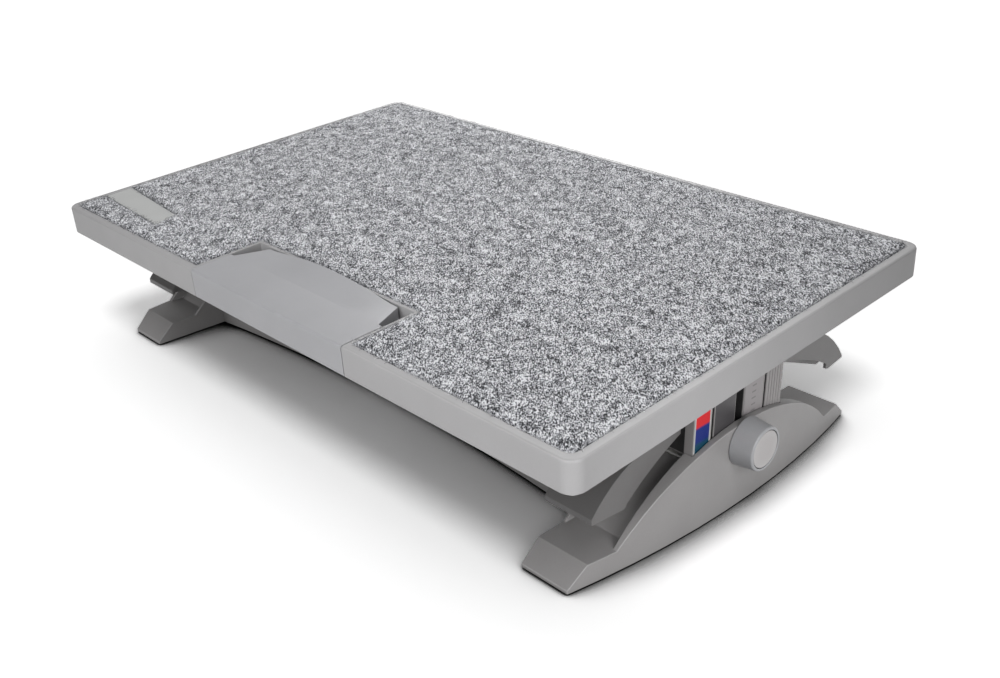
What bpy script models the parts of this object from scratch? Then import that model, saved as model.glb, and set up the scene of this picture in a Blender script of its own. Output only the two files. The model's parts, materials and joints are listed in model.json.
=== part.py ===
"""An ergonomic footrest: a carpeted platform that tilts on an axle between two columns, and the columns
slide in two bowed legs, where a knob on each leg clamps them at the chosen height.

Metres, +Z up, +X to the right-hand leg, and -Y to the long edge with the pedal. The origin is on the
floor under the middle of the axle. The platform's own frame lies on the axle, and tips with the platform.
"""

import math

import bmesh
import bpy
from mathutils import Matrix

# Small clearances and overruns
SEAT_GAP = 0.0003
SLIDE_GAP = 0.0004
RUNNING_GAP = 0.00015
OVERRUN = 0.004
OVERLAP = 0.0004
WELD = 0.000001

# Platform
PLATFORM_LENGTH = 0.560
PLATFORM_DEPTH = 0.3514
PLATFORM_THICKNESS = 0.0216
PLATFORM_CORNER = 0.010
PLATFORM_EDGE_ROUND = 0.0018
PLATFORM_BEHIND_AXLE = 0.001
RIM_WIDTH = 0.0065
SKIRT_WALL = 0.003
DECK_THICKNESS = 0.003
RIB_THICKNESS = 0.003
REST_TILT = math.radians(3.17)
INNER_RIB_SHARES = (0.3, 0.65)
OUTER_RIB_SHARES = (0.34, 0.67)
CROSS_RIB_SHARE = 0.34
POST_RADIUS = 0.005

# Carpet and the bare plate let into it
CARPET_THICKNESS = 0.0042
CARPET_PROUD = 0.0012
CARPET_GAP = 0.0005
CARPET_CORNER = 0.006
TAG_LENGTH = 0.091
TAG_SLANT = 0.007
TAG_DEPTH = 0.024
TAG_TAPER = 0.0025
TAG_SKEW = 0.0055
TAG_FROM_FRONT = 0.0317
TAG_THICKNESS = 0.003

# Pedal
PEDAL_LENGTH = 0.174
PEDAL_DEPTH = 0.0578
PEDAL_FLAT = 0.0335
PEDAL_CREST = 0.0052
PEDAL_CREST_FROM_END = 0.027
PEDAL_CREST_DROP = 0.0024
PEDAL_ROOF = 0.004
PEDAL_WALL = 0.0025
PEDAL_EDGE_ROUND = 0.0015
PEDAL_CREASE_IN = 0.004
PEDAL_BACK_IN = 0.0142
PEDAL_SIDE_GAP = 0.0006
PEDAL_BACK_GAP = 0.0018
PEDAL_FRAME_WALL = 0.0025
PEDAL_SKIRT = 0.016
PEDAL_FLOOR = 0.0025
PEDAL_LIFT = 0.0025
PEDAL_SINK = 0.0058
PEDAL_STATIONS = 15
RAMP_STEPS = 4
PEDAL_PIN_RADIUS = 0.002
PEDAL_PIN_BACK = 0.0065
PEDAL_PIN_DOWN = 0.0075
PEDAL_PIN_GRIP = 0.004
FINGER_HALF = 0.005
FINGER_DEPTH = 0.004
FINGER_BACK = 0.0020
FINGER_BELOW = 0.0037
FINGER_ROOM = 0.003

# Axle and what turns on it
AXLE_RADIUS = 0.004
AXLE_DROP = 0.012
AXLE_HEIGHT = 0.0911
BUSH_WALL = 0.002
BUSH_FLANGE = 0.0015
BUSH_FLANGE_THICK = 0.0008
CLIP_THICK = 0.0012
CLIP_RIM = 0.003

# Legs
LEG_FROM_END = 0.0146
LEG_WIDTH = 0.0519
LEG_BOW_RADIUS = 0.770
LEG_HALF_LENGTH = 0.1475
LEG_STANDOFF = 0.001
FOOT_HEIGHT = 0.016
FOOT_NOSE = 0.0035
FOOT_SLOPE = 0.0145
HUMP_RADIUS = 0.158
HUMP_CROWN = 0.0615
CHANNEL_INNER_WALL = 0.0022
CHANNEL_OUTER_WALL = 0.0114
CHANNEL_HALF = 0.100
CHANNEL_CROWN = 0.046
CHANNEL_ROOF = 0.003
BAY_INNER_WALL = 0.0134
BAY_OUTER_WALL = 0.0124
BAY_HALF = 0.104
NUT_BOSS_HALF = 0.009
NUT_BOSS_TOP = 0.057
NUT_BOSS_BOTTOM = 0.036
ARC_STEPS = 21
BOW_STEPS = 11

# Rubber pads under the feet
PAD_RADIUS = 0.009
PAD_THICKNESS = 0.003
PAD_FROM_END = 0.021

# Plate that ties the legs
TIE_HALF_AT_LEG = 0.085
TIE_HALF_AT_MIDDLE = 0.071
TIE_BOTTOM = 0.0013
TIE_HEIGHT = 0.0095
TIE_LUG_LENGTH = 0.009
TIE_LUG_HALF = 0.070
TIE_LUG_HEIGHT = 0.0042
TIE_WINDOW_FROM_LEG = 0.0515
TIE_WINDOW_HALF = 0.042
TIE_WINDOW_GAP = 0.012
TIE_SCREW_OUT = 0.0045
TIE_SCREW_FROM_LUG_END = 0.014

# Screws
SCREW_RADIUS = 0.0018
SCREW_HEAD_RADIUS = 0.0036
SCREW_HEAD_HEIGHT = 0.0018
SCREW_LENGTH = 0.010
SCREW_SLOT = 0.0008

# Columns
COLUMN_BOTTOM = 0.023
COLUMN_TOP = 0.0905
COLUMN_HALF = 0.0465
COLUMN_SETBACK = 0.0056
COLUMN_PLATE = 0.0065
COLUMN_CORE_HALF = 0.034
COLUMN_CORE_TOP = 0.074
NECK_HALF = 0.020
NECK_BOSS_RADIUS = 0.0078
SLOT_HALF = 0.00425
SLOT_BOTTOM = 0.0420
SLOT_TOP = 0.0870
CORE_SLOT_TOP = 0.0735
PANEL_WIDTH = 0.0180
PANEL_MARGIN = 0.0010
GROOVE_WIDTH = 0.0025
GROOVE_DEPTH = 0.0020
STRIP_COUNT = 5
STRIP_GROOVE_WIDTH = 0.0008
STRIP_GROOVE_DEPTH = 0.0006
LABEL_THICKNESS = 0.0005
LABEL_BOTTOM = 0.0480
GUIDE_WALL = 0.0025
GUIDE_BOTTOM = 0.005

# Clamp of each column
KNOB_HEIGHT = 0.048
KNOB_REACH = 0.0161
KNOB_ROOT_RADIUS = 0.0166
KNOB_FRONT_RADIUS = 0.0151
KNOB_ROUND = 0.0014
KNOB_CAP_RADIUS = 0.0128
KNOB_CAP_THICK = 0.0022
KNOB_CAP_SINK = 0.0002
CLAMP_RADIUS = 0.003
CLAMP_HEX_ACROSS = 0.010
CLAMP_HEX_THICK = 0.004
NUT_ACROSS = 0.010
NUT_THICK = 0.005
WASHER_RADIUS = 0.0085
WASHER_THICK = 0.001
WASHER_SINK = 0.0016

# Cradle on each side under the platform
CRADLE_FROM_LEG_INSIDE = 0.0012
CRADLE_WALL = 0.0025
CRADLE_FLANGE = 0.003
CRADLE_LIP = 0.0037
CRADLE_NARROW = 0.0120
CRADLE_TUCK = 0.0008
CRADLE_FRONT = 0.131
CRADLE_BACK = 0.133
CRADLE_FRONT_TIP_DEPTH = 0.056
CRADLE_BACK_TIP_DEPTH = 0.0582
CRADLE_HEEL_DEPTH = 0.060
CRADLE_FRONT_HEEL = 0.103
CRADLE_BACK_HEEL = 0.115
CRADLE_ARC_RADIUS = 0.190
CRADLE_ARC_CROWN = 0.0235
CRADLE_ARC_BEHIND = 0.008
CRADLE_GAP_HALF = 0.050
EAR_SIDE_GAP = 0.001
EAR_HALF = 0.0125
EAR_BELOW = 0.0082
CRADLE_TOP_RADIUS = 0.080
CRADLE_FRONT_CROWN = 0.0719
CRADLE_FRONT_CROWN_DEPTH = 0.0260
CRADLE_BACK_CROWN = 0.0633
CRADLE_BACK_CROWN_DEPTH = 0.0158
CRADLE_SCREW_ALONG = 0.036
CRADLE_ARC_STEPS = 8

# Tilt lock: a rim on the axle, gripped by a shoe on a lever that the pedal lets go
LOCK_RIM_RADIUS = 0.046
LOCK_RIM_HALF = 0.002
LOCK_RIM_ABOVE = math.radians(16)
LOCK_RIM_BELOW = math.radians(22)
LOCK_HUB_RADIUS = 0.0085
SHOE_THICK = 0.004
SHOE_HALF = 0.004
SHOE_START = math.radians(170)
SHOE_END = math.radians(186)
LEVER_PIVOT_AHEAD = 0.070
LEVER_PIVOT_DOWN = 0.020
LEVER_HALF = 0.0035
LEVER_EYE_RADIUS = 0.006
LEVER_ARM = 0.0042
LEVER_PIN_RADIUS = 0.002
BRACKET_HALF = 0.023
BRACKET_DEPTH = 0.020
BRACKET_PLATE = 0.0025
BRACKET_CHEEK = 0.0025
BRACKET_CHEEK_DEPTH = 0.016
BRACKET_BELOW_PIVOT = 0.006
BRACKET_SCREW_OUT = 0.016

# Springs
SPRING_RADIUS = 0.0035
SPRING_WIRE = 0.0005
SPRING_TURNS = 5
SPRING_POINTS = 10
PEDAL_SPRING_OUT = 0.055
PEDAL_SPRING_AHEAD = 0.014

# Sides of round pieces
ROUND = 28
SMALL_ROUND = 10

# Places that follow from the sizes above, in the platform's frame on the axle
UNDERSIDE = AXLE_DROP
TOP = UNDERSIDE + PLATFORM_THICKNESS
DECK_TOP = TOP + CARPET_PROUD - CARPET_THICKNESS - SEAT_GAP
DECK_BOTTOM = DECK_TOP - DECK_THICKNESS
HALF_LENGTH = PLATFORM_LENGTH / 2
FRONT = PLATFORM_BEHIND_AXLE - PLATFORM_DEPTH / 2
BACK = PLATFORM_BEHIND_AXLE + PLATFORM_DEPTH / 2
PEDAL_HALF = PEDAL_LENGTH / 2
PEDAL_BACK = FRONT + PEDAL_DEPTH
NOTCH_HALF = PEDAL_HALF + PEDAL_SIDE_GAP
NOTCH_BACK = PEDAL_BACK + PEDAL_BACK_GAP
FRAME_HALF = NOTCH_HALF + PEDAL_FRAME_WALL
FRAME_BACK = NOTCH_BACK + PEDAL_FRAME_WALL
PEDAL_PIN_Y = FRONT + PEDAL_PIN_BACK
PEDAL_PIN_Z = TOP - PEDAL_PIN_DOWN
PEDAL_CREST_HALF = PEDAL_HALF - PEDAL_CREST_FROM_END
PEDAL_CREASE_HALF = PEDAL_HALF - PEDAL_CREASE_IN
PEDAL_BACK_HALF = PEDAL_HALF - PEDAL_BACK_IN
FLOOR_TOP = UNDERSIDE + PEDAL_FLOOR
LEVER_PIVOT_Y = -LEVER_PIVOT_AHEAD
LEVER_PIVOT_Z = UNDERSIDE - LEVER_PIVOT_DOWN
FLANGE_TOP = UNDERSIDE - SEAT_GAP
FLANGE_BOTTOM = FLANGE_TOP - CRADLE_FLANGE

# Distances from the middle that follow from the platform's length
LEG_OUTSIDE = HALF_LENGTH - LEG_FROM_END
LEG_INSIDE = LEG_OUTSIDE - LEG_WIDTH
CHANNEL_INSIDE = LEG_INSIDE + CHANNEL_INNER_WALL
CHANNEL_OUTSIDE = LEG_OUTSIDE - CHANNEL_OUTER_WALL
BAY_INSIDE = LEG_INSIDE + BAY_INNER_WALL
BAY_OUTSIDE = LEG_OUTSIDE - BAY_OUTER_WALL
TIE_WINDOW_LENGTH = LEG_INSIDE - TIE_WINDOW_FROM_LEG - TIE_WINDOW_GAP
TIE_SCREW_ALONG = TIE_LUG_HALF - TIE_SCREW_FROM_LUG_END
COLUMN_OUTSIDE = LEG_OUTSIDE - COLUMN_SETBACK
COLUMN_INSIDE_OF_PLATE = COLUMN_OUTSIDE - COLUMN_PLATE
COLUMN_CORE_INSIDE = BAY_INSIDE + SEAT_GAP + GUIDE_WALL + SEAT_GAP
EAR_OUTSIDE = COLUMN_INSIDE_OF_PLATE - SEAT_GAP
NECK_OUTSIDE = EAR_OUTSIDE - CRADLE_WALL - SEAT_GAP - BUSH_FLANGE_THICK - SLIDE_GAP
CRADLE_INSIDE = LEG_INSIDE + CRADLE_FROM_LEG_INSIDE
CRADLE_OUTSIDE = EAR_OUTSIDE - CRADLE_TUCK
CRADLE_INNER_RIB = CRADLE_INSIDE + CRADLE_LIP
CRADLE_MIDDLE_RIB = CRADLE_OUTSIDE - CRADLE_NARROW
CRADLE_INNER_EAR = COLUMN_CORE_INSIDE - EAR_SIDE_GAP - CRADLE_WALL

# Names of the two sides and the two ends
SIDES = (("right", 1), ("left", -1))
ENDS = (("front", -1), ("back", 1))

parts = None
cutters = None
platform_pivot = None
pedal_pivot = None
lever_pivot = None


def clear_scene():
    """Removes whatever the scene holds at the start."""
    for obj in list(bpy.data.objects):
        bpy.data.objects.remove(obj, do_unlink=True)


def collection(name):
    made = bpy.data.collections.new(name)
    bpy.context.scene.collection.children.link(made)
    return made


def pivot(name, location, tilt=0.0, parent=None):
    """An empty on a joint's axis, for the pieces that turn about it."""
    empty = bpy.data.objects.new(name, None)
    parts.objects.link(empty)
    empty.parent = parent
    empty.location = location
    empty.rotation_euler = (tilt, 0, 0)
    return empty


def material(name, colour, roughness, metallic=0.0):
    made = bpy.data.materials.new(name)
    made.use_nodes = True
    shader = made.node_tree.nodes["Principled BSDF"]
    shader.inputs["Base Color"].default_value = (*colour, 1.0)
    shader.inputs["Roughness"].default_value = roughness
    shader.inputs["Metallic"].default_value = metallic
    return made


def new_object(name, mesh, parent=None):
    obj = bpy.data.objects.new(name, mesh)
    parts.objects.link(obj)
    obj.parent = parent
    return obj


def dress(obj, finish):
    obj.data.materials.clear()
    obj.data.materials.append(finish)
    return obj


def smooth(obj, angle=math.radians(35)):
    obj.data.shade_smooth()
    obj.data.set_sharp_from_angle(angle=angle)
    return obj


def box(name, low, high, parent=None):
    """A block from its lowest to its highest corner."""
    form = bmesh.new()
    bmesh.ops.create_cube(form, size=1.0)
    bmesh.ops.scale(form, vec=[b - a for a, b in zip(low, high)], verts=form.verts)
    mesh = bpy.data.meshes.new(name)
    form.to_mesh(mesh)
    form.free()
    obj = new_object(name, mesh, parent)
    obj.location = [(a + b) / 2 for a, b in zip(low, high)]
    return obj


def boxes(name, corners, parent=None):
    """Several blocks that don't meet, as one object."""
    form = bmesh.new()
    for low, high in corners:
        made = bmesh.ops.create_cube(form, size=1.0)
        bmesh.ops.scale(form, vec=[b - a for a, b in zip(low, high)], verts=made["verts"])
        bmesh.ops.translate(form, vec=[(a + b) / 2 for a, b in zip(low, high)], verts=made["verts"])
    mesh = bpy.data.meshes.new(name)
    form.to_mesh(mesh)
    form.free()
    return new_object(name, mesh, parent)


def stand(form, axis):
    """Turns a form made along Z so that it lies along X or Y."""
    turns = {
        "X": ((0, 0, 1), (1, 0, 0), (0, 1, 0)),
        "Y": ((1, 0, 0), (0, 0, -1), (0, 1, 0)),
        "Z": ((1, 0, 0), (0, 1, 0), (0, 0, 1)),
    }
    bmesh.ops.transform(form, matrix=Matrix(turns[axis]).to_4x4(), verts=form.verts)


def rod(name, radius, centre, length, axis, sides=SMALL_ROUND, parent=None):
    """A round bar of this length about its centre, along X, Y or Z."""
    form = bmesh.new()
    bmesh.ops.create_cone(
        form, cap_ends=True, segments=sides, radius1=radius, radius2=radius, depth=length
    )
    stand(form, axis)
    mesh = bpy.data.meshes.new(name)
    form.to_mesh(mesh)
    form.free()
    obj = smooth(new_object(name, mesh, parent))
    obj.location = centre
    return obj


def curve_mesh(name, curve, axis="Z"):
    """The welded mesh of a curve, turned to lie along an axis; the curve is removed."""
    guide = new_object(name + "_guide", curve)
    bpy.context.view_layer.update()
    evaluated = guide.evaluated_get(bpy.context.evaluated_depsgraph_get())
    mesh = bpy.data.meshes.new_from_object(evaluated)
    mesh.name = name
    bpy.data.objects.remove(guide, do_unlink=True)
    form = bmesh.new()
    form.from_mesh(mesh)
    bmesh.ops.remove_doubles(form, verts=form.verts, dist=WELD)
    stand(form, axis)
    bmesh.ops.recalc_face_normals(form, faces=form.faces)
    form.to_mesh(mesh)
    form.free()
    return mesh


def outline_solid(name, points, low, high, axis, parent=None):
    """An outline given thickness along an axis: (y, z) points for X, (x, z) for Y, (x, y) for Z."""
    curve = bpy.data.curves.new(name, "CURVE")
    curve.dimensions = "2D"
    curve.fill_mode = "BOTH"
    curve.extrude = abs(high - low) / 2
    spline = curve.splines.new("POLY")
    spline.points.add(len(points) - 1)
    for point, (u, v) in zip(spline.points, points):
        point.co = (u, v, 0, 1)
    spline.use_cyclic_u = True
    obj = new_object(name, curve_mesh(name, curve, axis), parent)
    middle = (low + high) / 2
    obj.location = {"X": (middle, 0, 0), "Y": (0, middle, 0), "Z": (0, 0, middle)}[axis]
    return obj


def loft(name, rings, parent=None):
    """A closed skin through rings of equally many points, with a flat face on the first and the last."""
    form = bmesh.new()
    rows = [[form.verts.new(point) for point in ring] for ring in rings]
    form.faces.new(rows[0])
    form.faces.new(rows[-1])
    for row, following in zip(rows, rows[1:]):
        for i in range(len(row)):
            j = (i + 1) % len(row)
            form.faces.new((row[i], row[j], following[j], following[i]))
    bmesh.ops.recalc_face_normals(form, faces=form.faces)
    mesh = bpy.data.meshes.new(name)
    form.to_mesh(mesh)
    form.free()
    return new_object(name, mesh, parent)


def turned(name, profile, parent=None, sides=SMALL_ROUND):
    """A profile of (radius, height) points, run down its outer side, turned about Z."""
    mesh = bpy.data.meshes.new(name)
    points = [(radius, 0, height) for radius, height in profile]
    mesh.from_pydata(points, [(i, i + 1) for i in range(len(points) - 1)], [])
    obj = new_object(name, mesh, parent)
    screw = obj.modifiers.new("turn", "SCREW")
    screw.steps = sides
    screw.render_steps = sides
    screw.use_merge_vertices = True
    screw.merge_threshold = WELD
    screw.use_smooth_shade = True
    return obj


def signed_area(points):
    """Twice the area of an outline in X and Y, above zero when it runs anticlockwise."""
    return sum(a[0] * b[1] - b[0] * a[1] for a, b in zip(points, points[1:] + points[:1]))


def ring(name, profile, centre, side, parent=None):
    """A closed profile of (radius, x) points, x from the middle outwards, turned about a line along X."""
    mesh = bpy.data.meshes.new(name)
    points = [(side * x, radius, 0) for radius, x in profile]
    if signed_area(points) < 0:
        points.reverse()
    count = len(points)
    mesh.from_pydata(points, [(i, (i + 1) % count) for i in range(count)], [])
    obj = new_object(name, mesh, parent)
    obj.location = centre
    screw = obj.modifiers.new("turn", "SCREW")
    screw.axis = "X"
    screw.steps = ROUND
    screw.render_steps = ROUND
    screw.use_merge_vertices = True
    screw.merge_threshold = WELD
    screw.use_smooth_shade = True
    return obj


def change(obj, tool, operation):
    """Cuts a tool from an object, or joins it on, and puts the tool away."""
    modifier = obj.modifiers.new(operation.lower(), "BOOLEAN")
    modifier.operation = operation
    modifier.object = tool
    modifier.solver = "EXACT"
    for holder in list(tool.users_collection):
        holder.objects.unlink(tool)
    cutters.objects.link(tool)
    tool.hide_render = True
    tool.display_type = "WIRE"


def cut(obj, *tools):
    for tool in tools:
        change(obj, tool, "DIFFERENCE")
    return obj


def join(obj, *tools):
    for tool in tools:
        change(obj, tool, "UNION")
    return obj


def span(side, near, far):
    """The two distances from the middle, as lowest and highest X on this side."""
    return tuple(sorted((side * near, side * far)))


def side_box(name, side, inside, outside, y_span, z_span, parent=None):
    """A block on one side, from its inner to its outer distance from the middle."""
    low_x, high_x = span(side, inside, outside)
    return box(
        name, (low_x, y_span[0], z_span[0]), (high_x, y_span[1], z_span[1]), parent
    )


def arc(centre, radius, start, end, steps):
    """Points along a circle, with both angles measured from the first axis."""
    found = []
    for i in range(steps + 1):
        angle = start + (end - start) * i / steps
        u = centre[0] + radius * math.cos(angle)
        v = centre[1] + radius * math.sin(angle)
        found.append((u, v))
    return found


def arch(half, crown, radius, steps):
    """Points of an arch from -half to half, in an odd number of steps, with its flat top at the crown."""
    spread = math.asin(half / radius)
    outer = radius / math.cos(spread / steps)
    middle = (0, crown - radius)
    upright = math.pi / 2
    return arc(middle, outer, upright + spread, upright - spread, steps)


def rounded_rectangle(low, high, radius, steps=4):
    """The corners of a rectangle, each rounded."""
    quarter = math.pi / 2
    centres = (
        (high[0] - radius, high[1] - radius),
        (low[0] + radius, high[1] - radius),
        (low[0] + radius, low[1] + radius),
        (high[0] - radius, low[1] + radius),
    )
    found = []
    for i, centre in enumerate(centres):
        found += arc(centre, radius, i * quarter, (i + 1) * quarter, steps)
    return found


def hexagon(across, centre):
    """A hexagon with two flats up and down."""
    radius = across / math.sqrt(3)
    return [
        (centre[0] + radius * math.cos(math.radians(a)), centre[1] + radius * math.sin(math.radians(a)))
        for a in range(0, 360, 60)
    ]


def screw(name, head, length, finish, parent=None):
    """A pan-head screw that goes up: its head's top face is at a point, and its slot is beneath."""
    profile = [
        (0, length),
        (SCREW_RADIUS, length),
        (SCREW_RADIUS, 0),
        (SCREW_HEAD_RADIUS, 0),
        (SCREW_HEAD_RADIUS, -SCREW_HEAD_HEIGHT / 2),
        (SCREW_HEAD_RADIUS - SCREW_SLOT, -SCREW_HEAD_HEIGHT),
        (0, -SCREW_HEAD_HEIGHT),
    ]
    obj = turned(name, profile, parent, sides=SMALL_ROUND)
    obj.location = head
    x, y, z = head
    slot = box(
        name + "_slot",
        (x - SCREW_HEAD_RADIUS, y - SCREW_SLOT / 2, z - SCREW_HEAD_HEIGHT - OVERRUN),
        (x + SCREW_HEAD_RADIUS, y + SCREW_SLOT / 2, z - SCREW_HEAD_HEIGHT + SCREW_SLOT),
        parent,
    )
    cut(obj, slot)
    return dress(obj, finish)


def leg_plan(side):
    """The leg from above: straight on the inside, bowed on the outside."""
    bow = arch(LEG_HALF_LENGTH + OVERRUN, LEG_OUTSIDE, LEG_BOW_RADIUS, BOW_STEPS)
    inner = [(LEG_INSIDE, LEG_HALF_LENGTH + OVERRUN), (LEG_INSIDE, -LEG_HALF_LENGTH - OVERRUN)]
    return [(side * x, y) for x, y in inner + [(x, y) for y, x in bow]]


def channel_arch(drop=0.0):
    """The arch of the channel's floor, or of a surface this far beneath it."""
    rise = CHANNEL_CROWN - FOOT_HEIGHT
    radius = (CHANNEL_HALF**2 + rise**2) / (2 * rise)
    return arch(CHANNEL_HALF, CHANNEL_CROWN - drop, radius, ARC_STEPS)


def foot_profile():
    """The leg's lower part from the side: two flat feet with sloped ends, the channel's floor between."""
    flat = LEG_HALF_LENGTH - FOOT_SLOPE
    left = [
        (-LEG_HALF_LENGTH, LEG_STANDOFF),
        (-LEG_HALF_LENGTH, FOOT_NOSE),
        (-flat, FOOT_HEIGHT),
    ]
    right = [(-y, z) for y, z in reversed(left)]
    return left + channel_arch() + right


def hump_profile():
    """A wall of the hump from the side, down into the foot."""
    low = FOOT_HEIGHT / 2
    half = math.sqrt(HUMP_RADIUS**2 - (low - HUMP_CROWN + HUMP_RADIUS) ** 2)
    return arch(half, HUMP_CROWN, HUMP_RADIUS, ARC_STEPS)


def bay_profile():
    """The hollow of the leg, which follows the channel's floor from beneath."""
    low = FOOT_HEIGHT - CHANNEL_ROOF
    left = [(-BAY_HALF, -OVERRUN), (-BAY_HALF, low)]
    right = [(BAY_HALF, low), (BAY_HALF, -OVERRUN)]
    return left + channel_arch(CHANNEL_ROOF) + right


def leg(label, side, finish):
    """A leg: feet and hump in one, with the channel, the hollow and the column's way through."""
    name = "leg_" + label
    near = LEG_INSIDE - OVERRUN
    far = LEG_OUTSIDE + OVERRUN
    solid = outline_solid(name, foot_profile(), side * near, side * far, "X")
    walls = (
        ("_inner_wall", near + OVERLAP, CHANNEL_INSIDE),
        ("_outer_wall", CHANNEL_OUTSIDE, far - OVERLAP),
    )
    for wall, inside, outside in walls:
        join(solid, outline_solid(name + wall, hump_profile(), side * inside, side * outside, "X"))
    plan = outline_solid(name + "_plan", leg_plan(side), -OVERRUN, HUMP_CROWN + OVERRUN, "Z")
    change(solid, plan, "INTERSECT")
    boss = side_box(
        name + "_nut_boss",
        side,
        LEG_INSIDE + OVERLAP,
        BAY_INSIDE + OVERRUN,
        (-NUT_BOSS_HALF, NUT_BOSS_HALF),
        (NUT_BOSS_BOTTOM, NUT_BOSS_TOP),
    )
    join(solid, boss)
    inside = side * (BAY_INSIDE - OVERLAP)
    cut(solid, outline_solid(name + "_bay", bay_profile(), inside, side * BAY_OUTSIDE, "X"))
    above = HUMP_CROWN + OVERRUN
    plate_half = COLUMN_HALF + SLIDE_GAP
    plate_room = side_box(
        name + "_plate_room",
        side,
        BAY_OUTSIDE - OVERLAP,
        COLUMN_OUTSIDE + SLIDE_GAP,
        (-plate_half, plate_half),
        (-OVERRUN, above),
    )
    guide_half = COLUMN_CORE_HALF + SLIDE_GAP + GUIDE_WALL + SEAT_GAP
    guide_room = side_box(
        name + "_guide_room",
        side,
        BAY_INSIDE,
        BAY_OUTSIDE + OVERLAP,
        (-guide_half, guide_half),
        (-OVERRUN, above),
    )
    cut(solid, plate_room, guide_room)
    clamp_hole = rod(
        name + "_clamp_hole",
        CLAMP_RADIUS + SEAT_GAP,
        (side * (LEG_OUTSIDE + CHANNEL_INSIDE) / 2, 0, KNOB_HEIGHT),
        LEG_OUTSIDE - CHANNEL_INSIDE + OVERRUN,
        "X",
    )
    nut_room = outline_solid(
        name + "_nut_room",
        hexagon(NUT_ACROSS + 2 * SEAT_GAP, (0, KNOB_HEIGHT)),
        side * (BAY_INSIDE - NUT_THICK - SEAT_GAP),
        side * (BAY_INSIDE + OVERRUN),
        "X",
    )
    washer_room = rod(
        name + "_washer_room",
        WASHER_RADIUS + SEAT_GAP,
        (side * (LEG_OUTSIDE + (OVERRUN - WASHER_SINK) / 2), 0, KNOB_HEIGHT),
        OVERRUN + WASHER_SINK,
        "X",
        ROUND,
    )
    cut(solid, clamp_hole, nut_room, washer_room)
    lug_room = side_box(
        name + "_lug_room",
        side,
        LEG_INSIDE - OVERRUN,
        LEG_INSIDE + TIE_LUG_LENGTH + SEAT_GAP,
        (-TIE_LUG_HALF - SEAT_GAP, TIE_LUG_HALF + SEAT_GAP),
        (-OVERRUN, TIE_BOTTOM + TIE_LUG_HEIGHT + SEAT_GAP),
    )
    cut(solid, lug_room)
    for end_label, end in ENDS:
        hole = rod(
            f"{name}_tie_hole_{end_label}",
            SCREW_RADIUS + SEAT_GAP,
            (side * (LEG_INSIDE + TIE_SCREW_OUT), end * TIE_SCREW_ALONG, TIE_BOTTOM + SCREW_LENGTH / 2),
            SCREW_LENGTH + OVERRUN,
            "Z",
        )
        pad_room = rod(
            f"{name}_pad_room_{end_label}",
            PAD_RADIUS + SEAT_GAP,
            (*pad_place(side, end), (PAD_THICKNESS + SEAT_GAP - OVERRUN) / 2),
            PAD_THICKNESS + SEAT_GAP + OVERRUN,
            "Z",
            ROUND,
        )
        cut(solid, hole, pad_room)
    return dress(solid, finish)


def pad_place(side, end):
    middle = (LEG_INSIDE + CHANNEL_OUTSIDE) / 2
    return side * middle, end * (LEG_HALF_LENGTH - PAD_FROM_END)


def rubber_pad(label, side, end_label, end, finish):
    name = f"rubber_pad_{end_label}_{label}"
    pad = rod(name, PAD_RADIUS, (*pad_place(side, end), PAD_THICKNESS / 2), PAD_THICKNESS, "Z", ROUND)
    return dress(pad, finish)


def column_guide(label, side, finish):
    """A liner in the leg, on three sides of the column's core."""
    name = "column_guide_" + label
    half = COLUMN_CORE_HALF + SLIDE_GAP + GUIDE_WALL
    inside = BAY_INSIDE + SEAT_GAP
    top = CHANNEL_CROWN - CHANNEL_ROOF
    guide = side_box(name, side, inside, BAY_OUTSIDE, (-half, half), (GUIDE_BOTTOM, top))
    core_room = side_box(
        name + "_core_room",
        side,
        inside + GUIDE_WALL,
        BAY_OUTSIDE + OVERRUN,
        (-COLUMN_CORE_HALF - SLIDE_GAP, COLUMN_CORE_HALF + SLIDE_GAP),
        (GUIDE_BOTTOM - OVERRUN, top + OVERRUN),
    )
    cut(guide, core_room)
    return dress(guide, finish)


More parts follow.
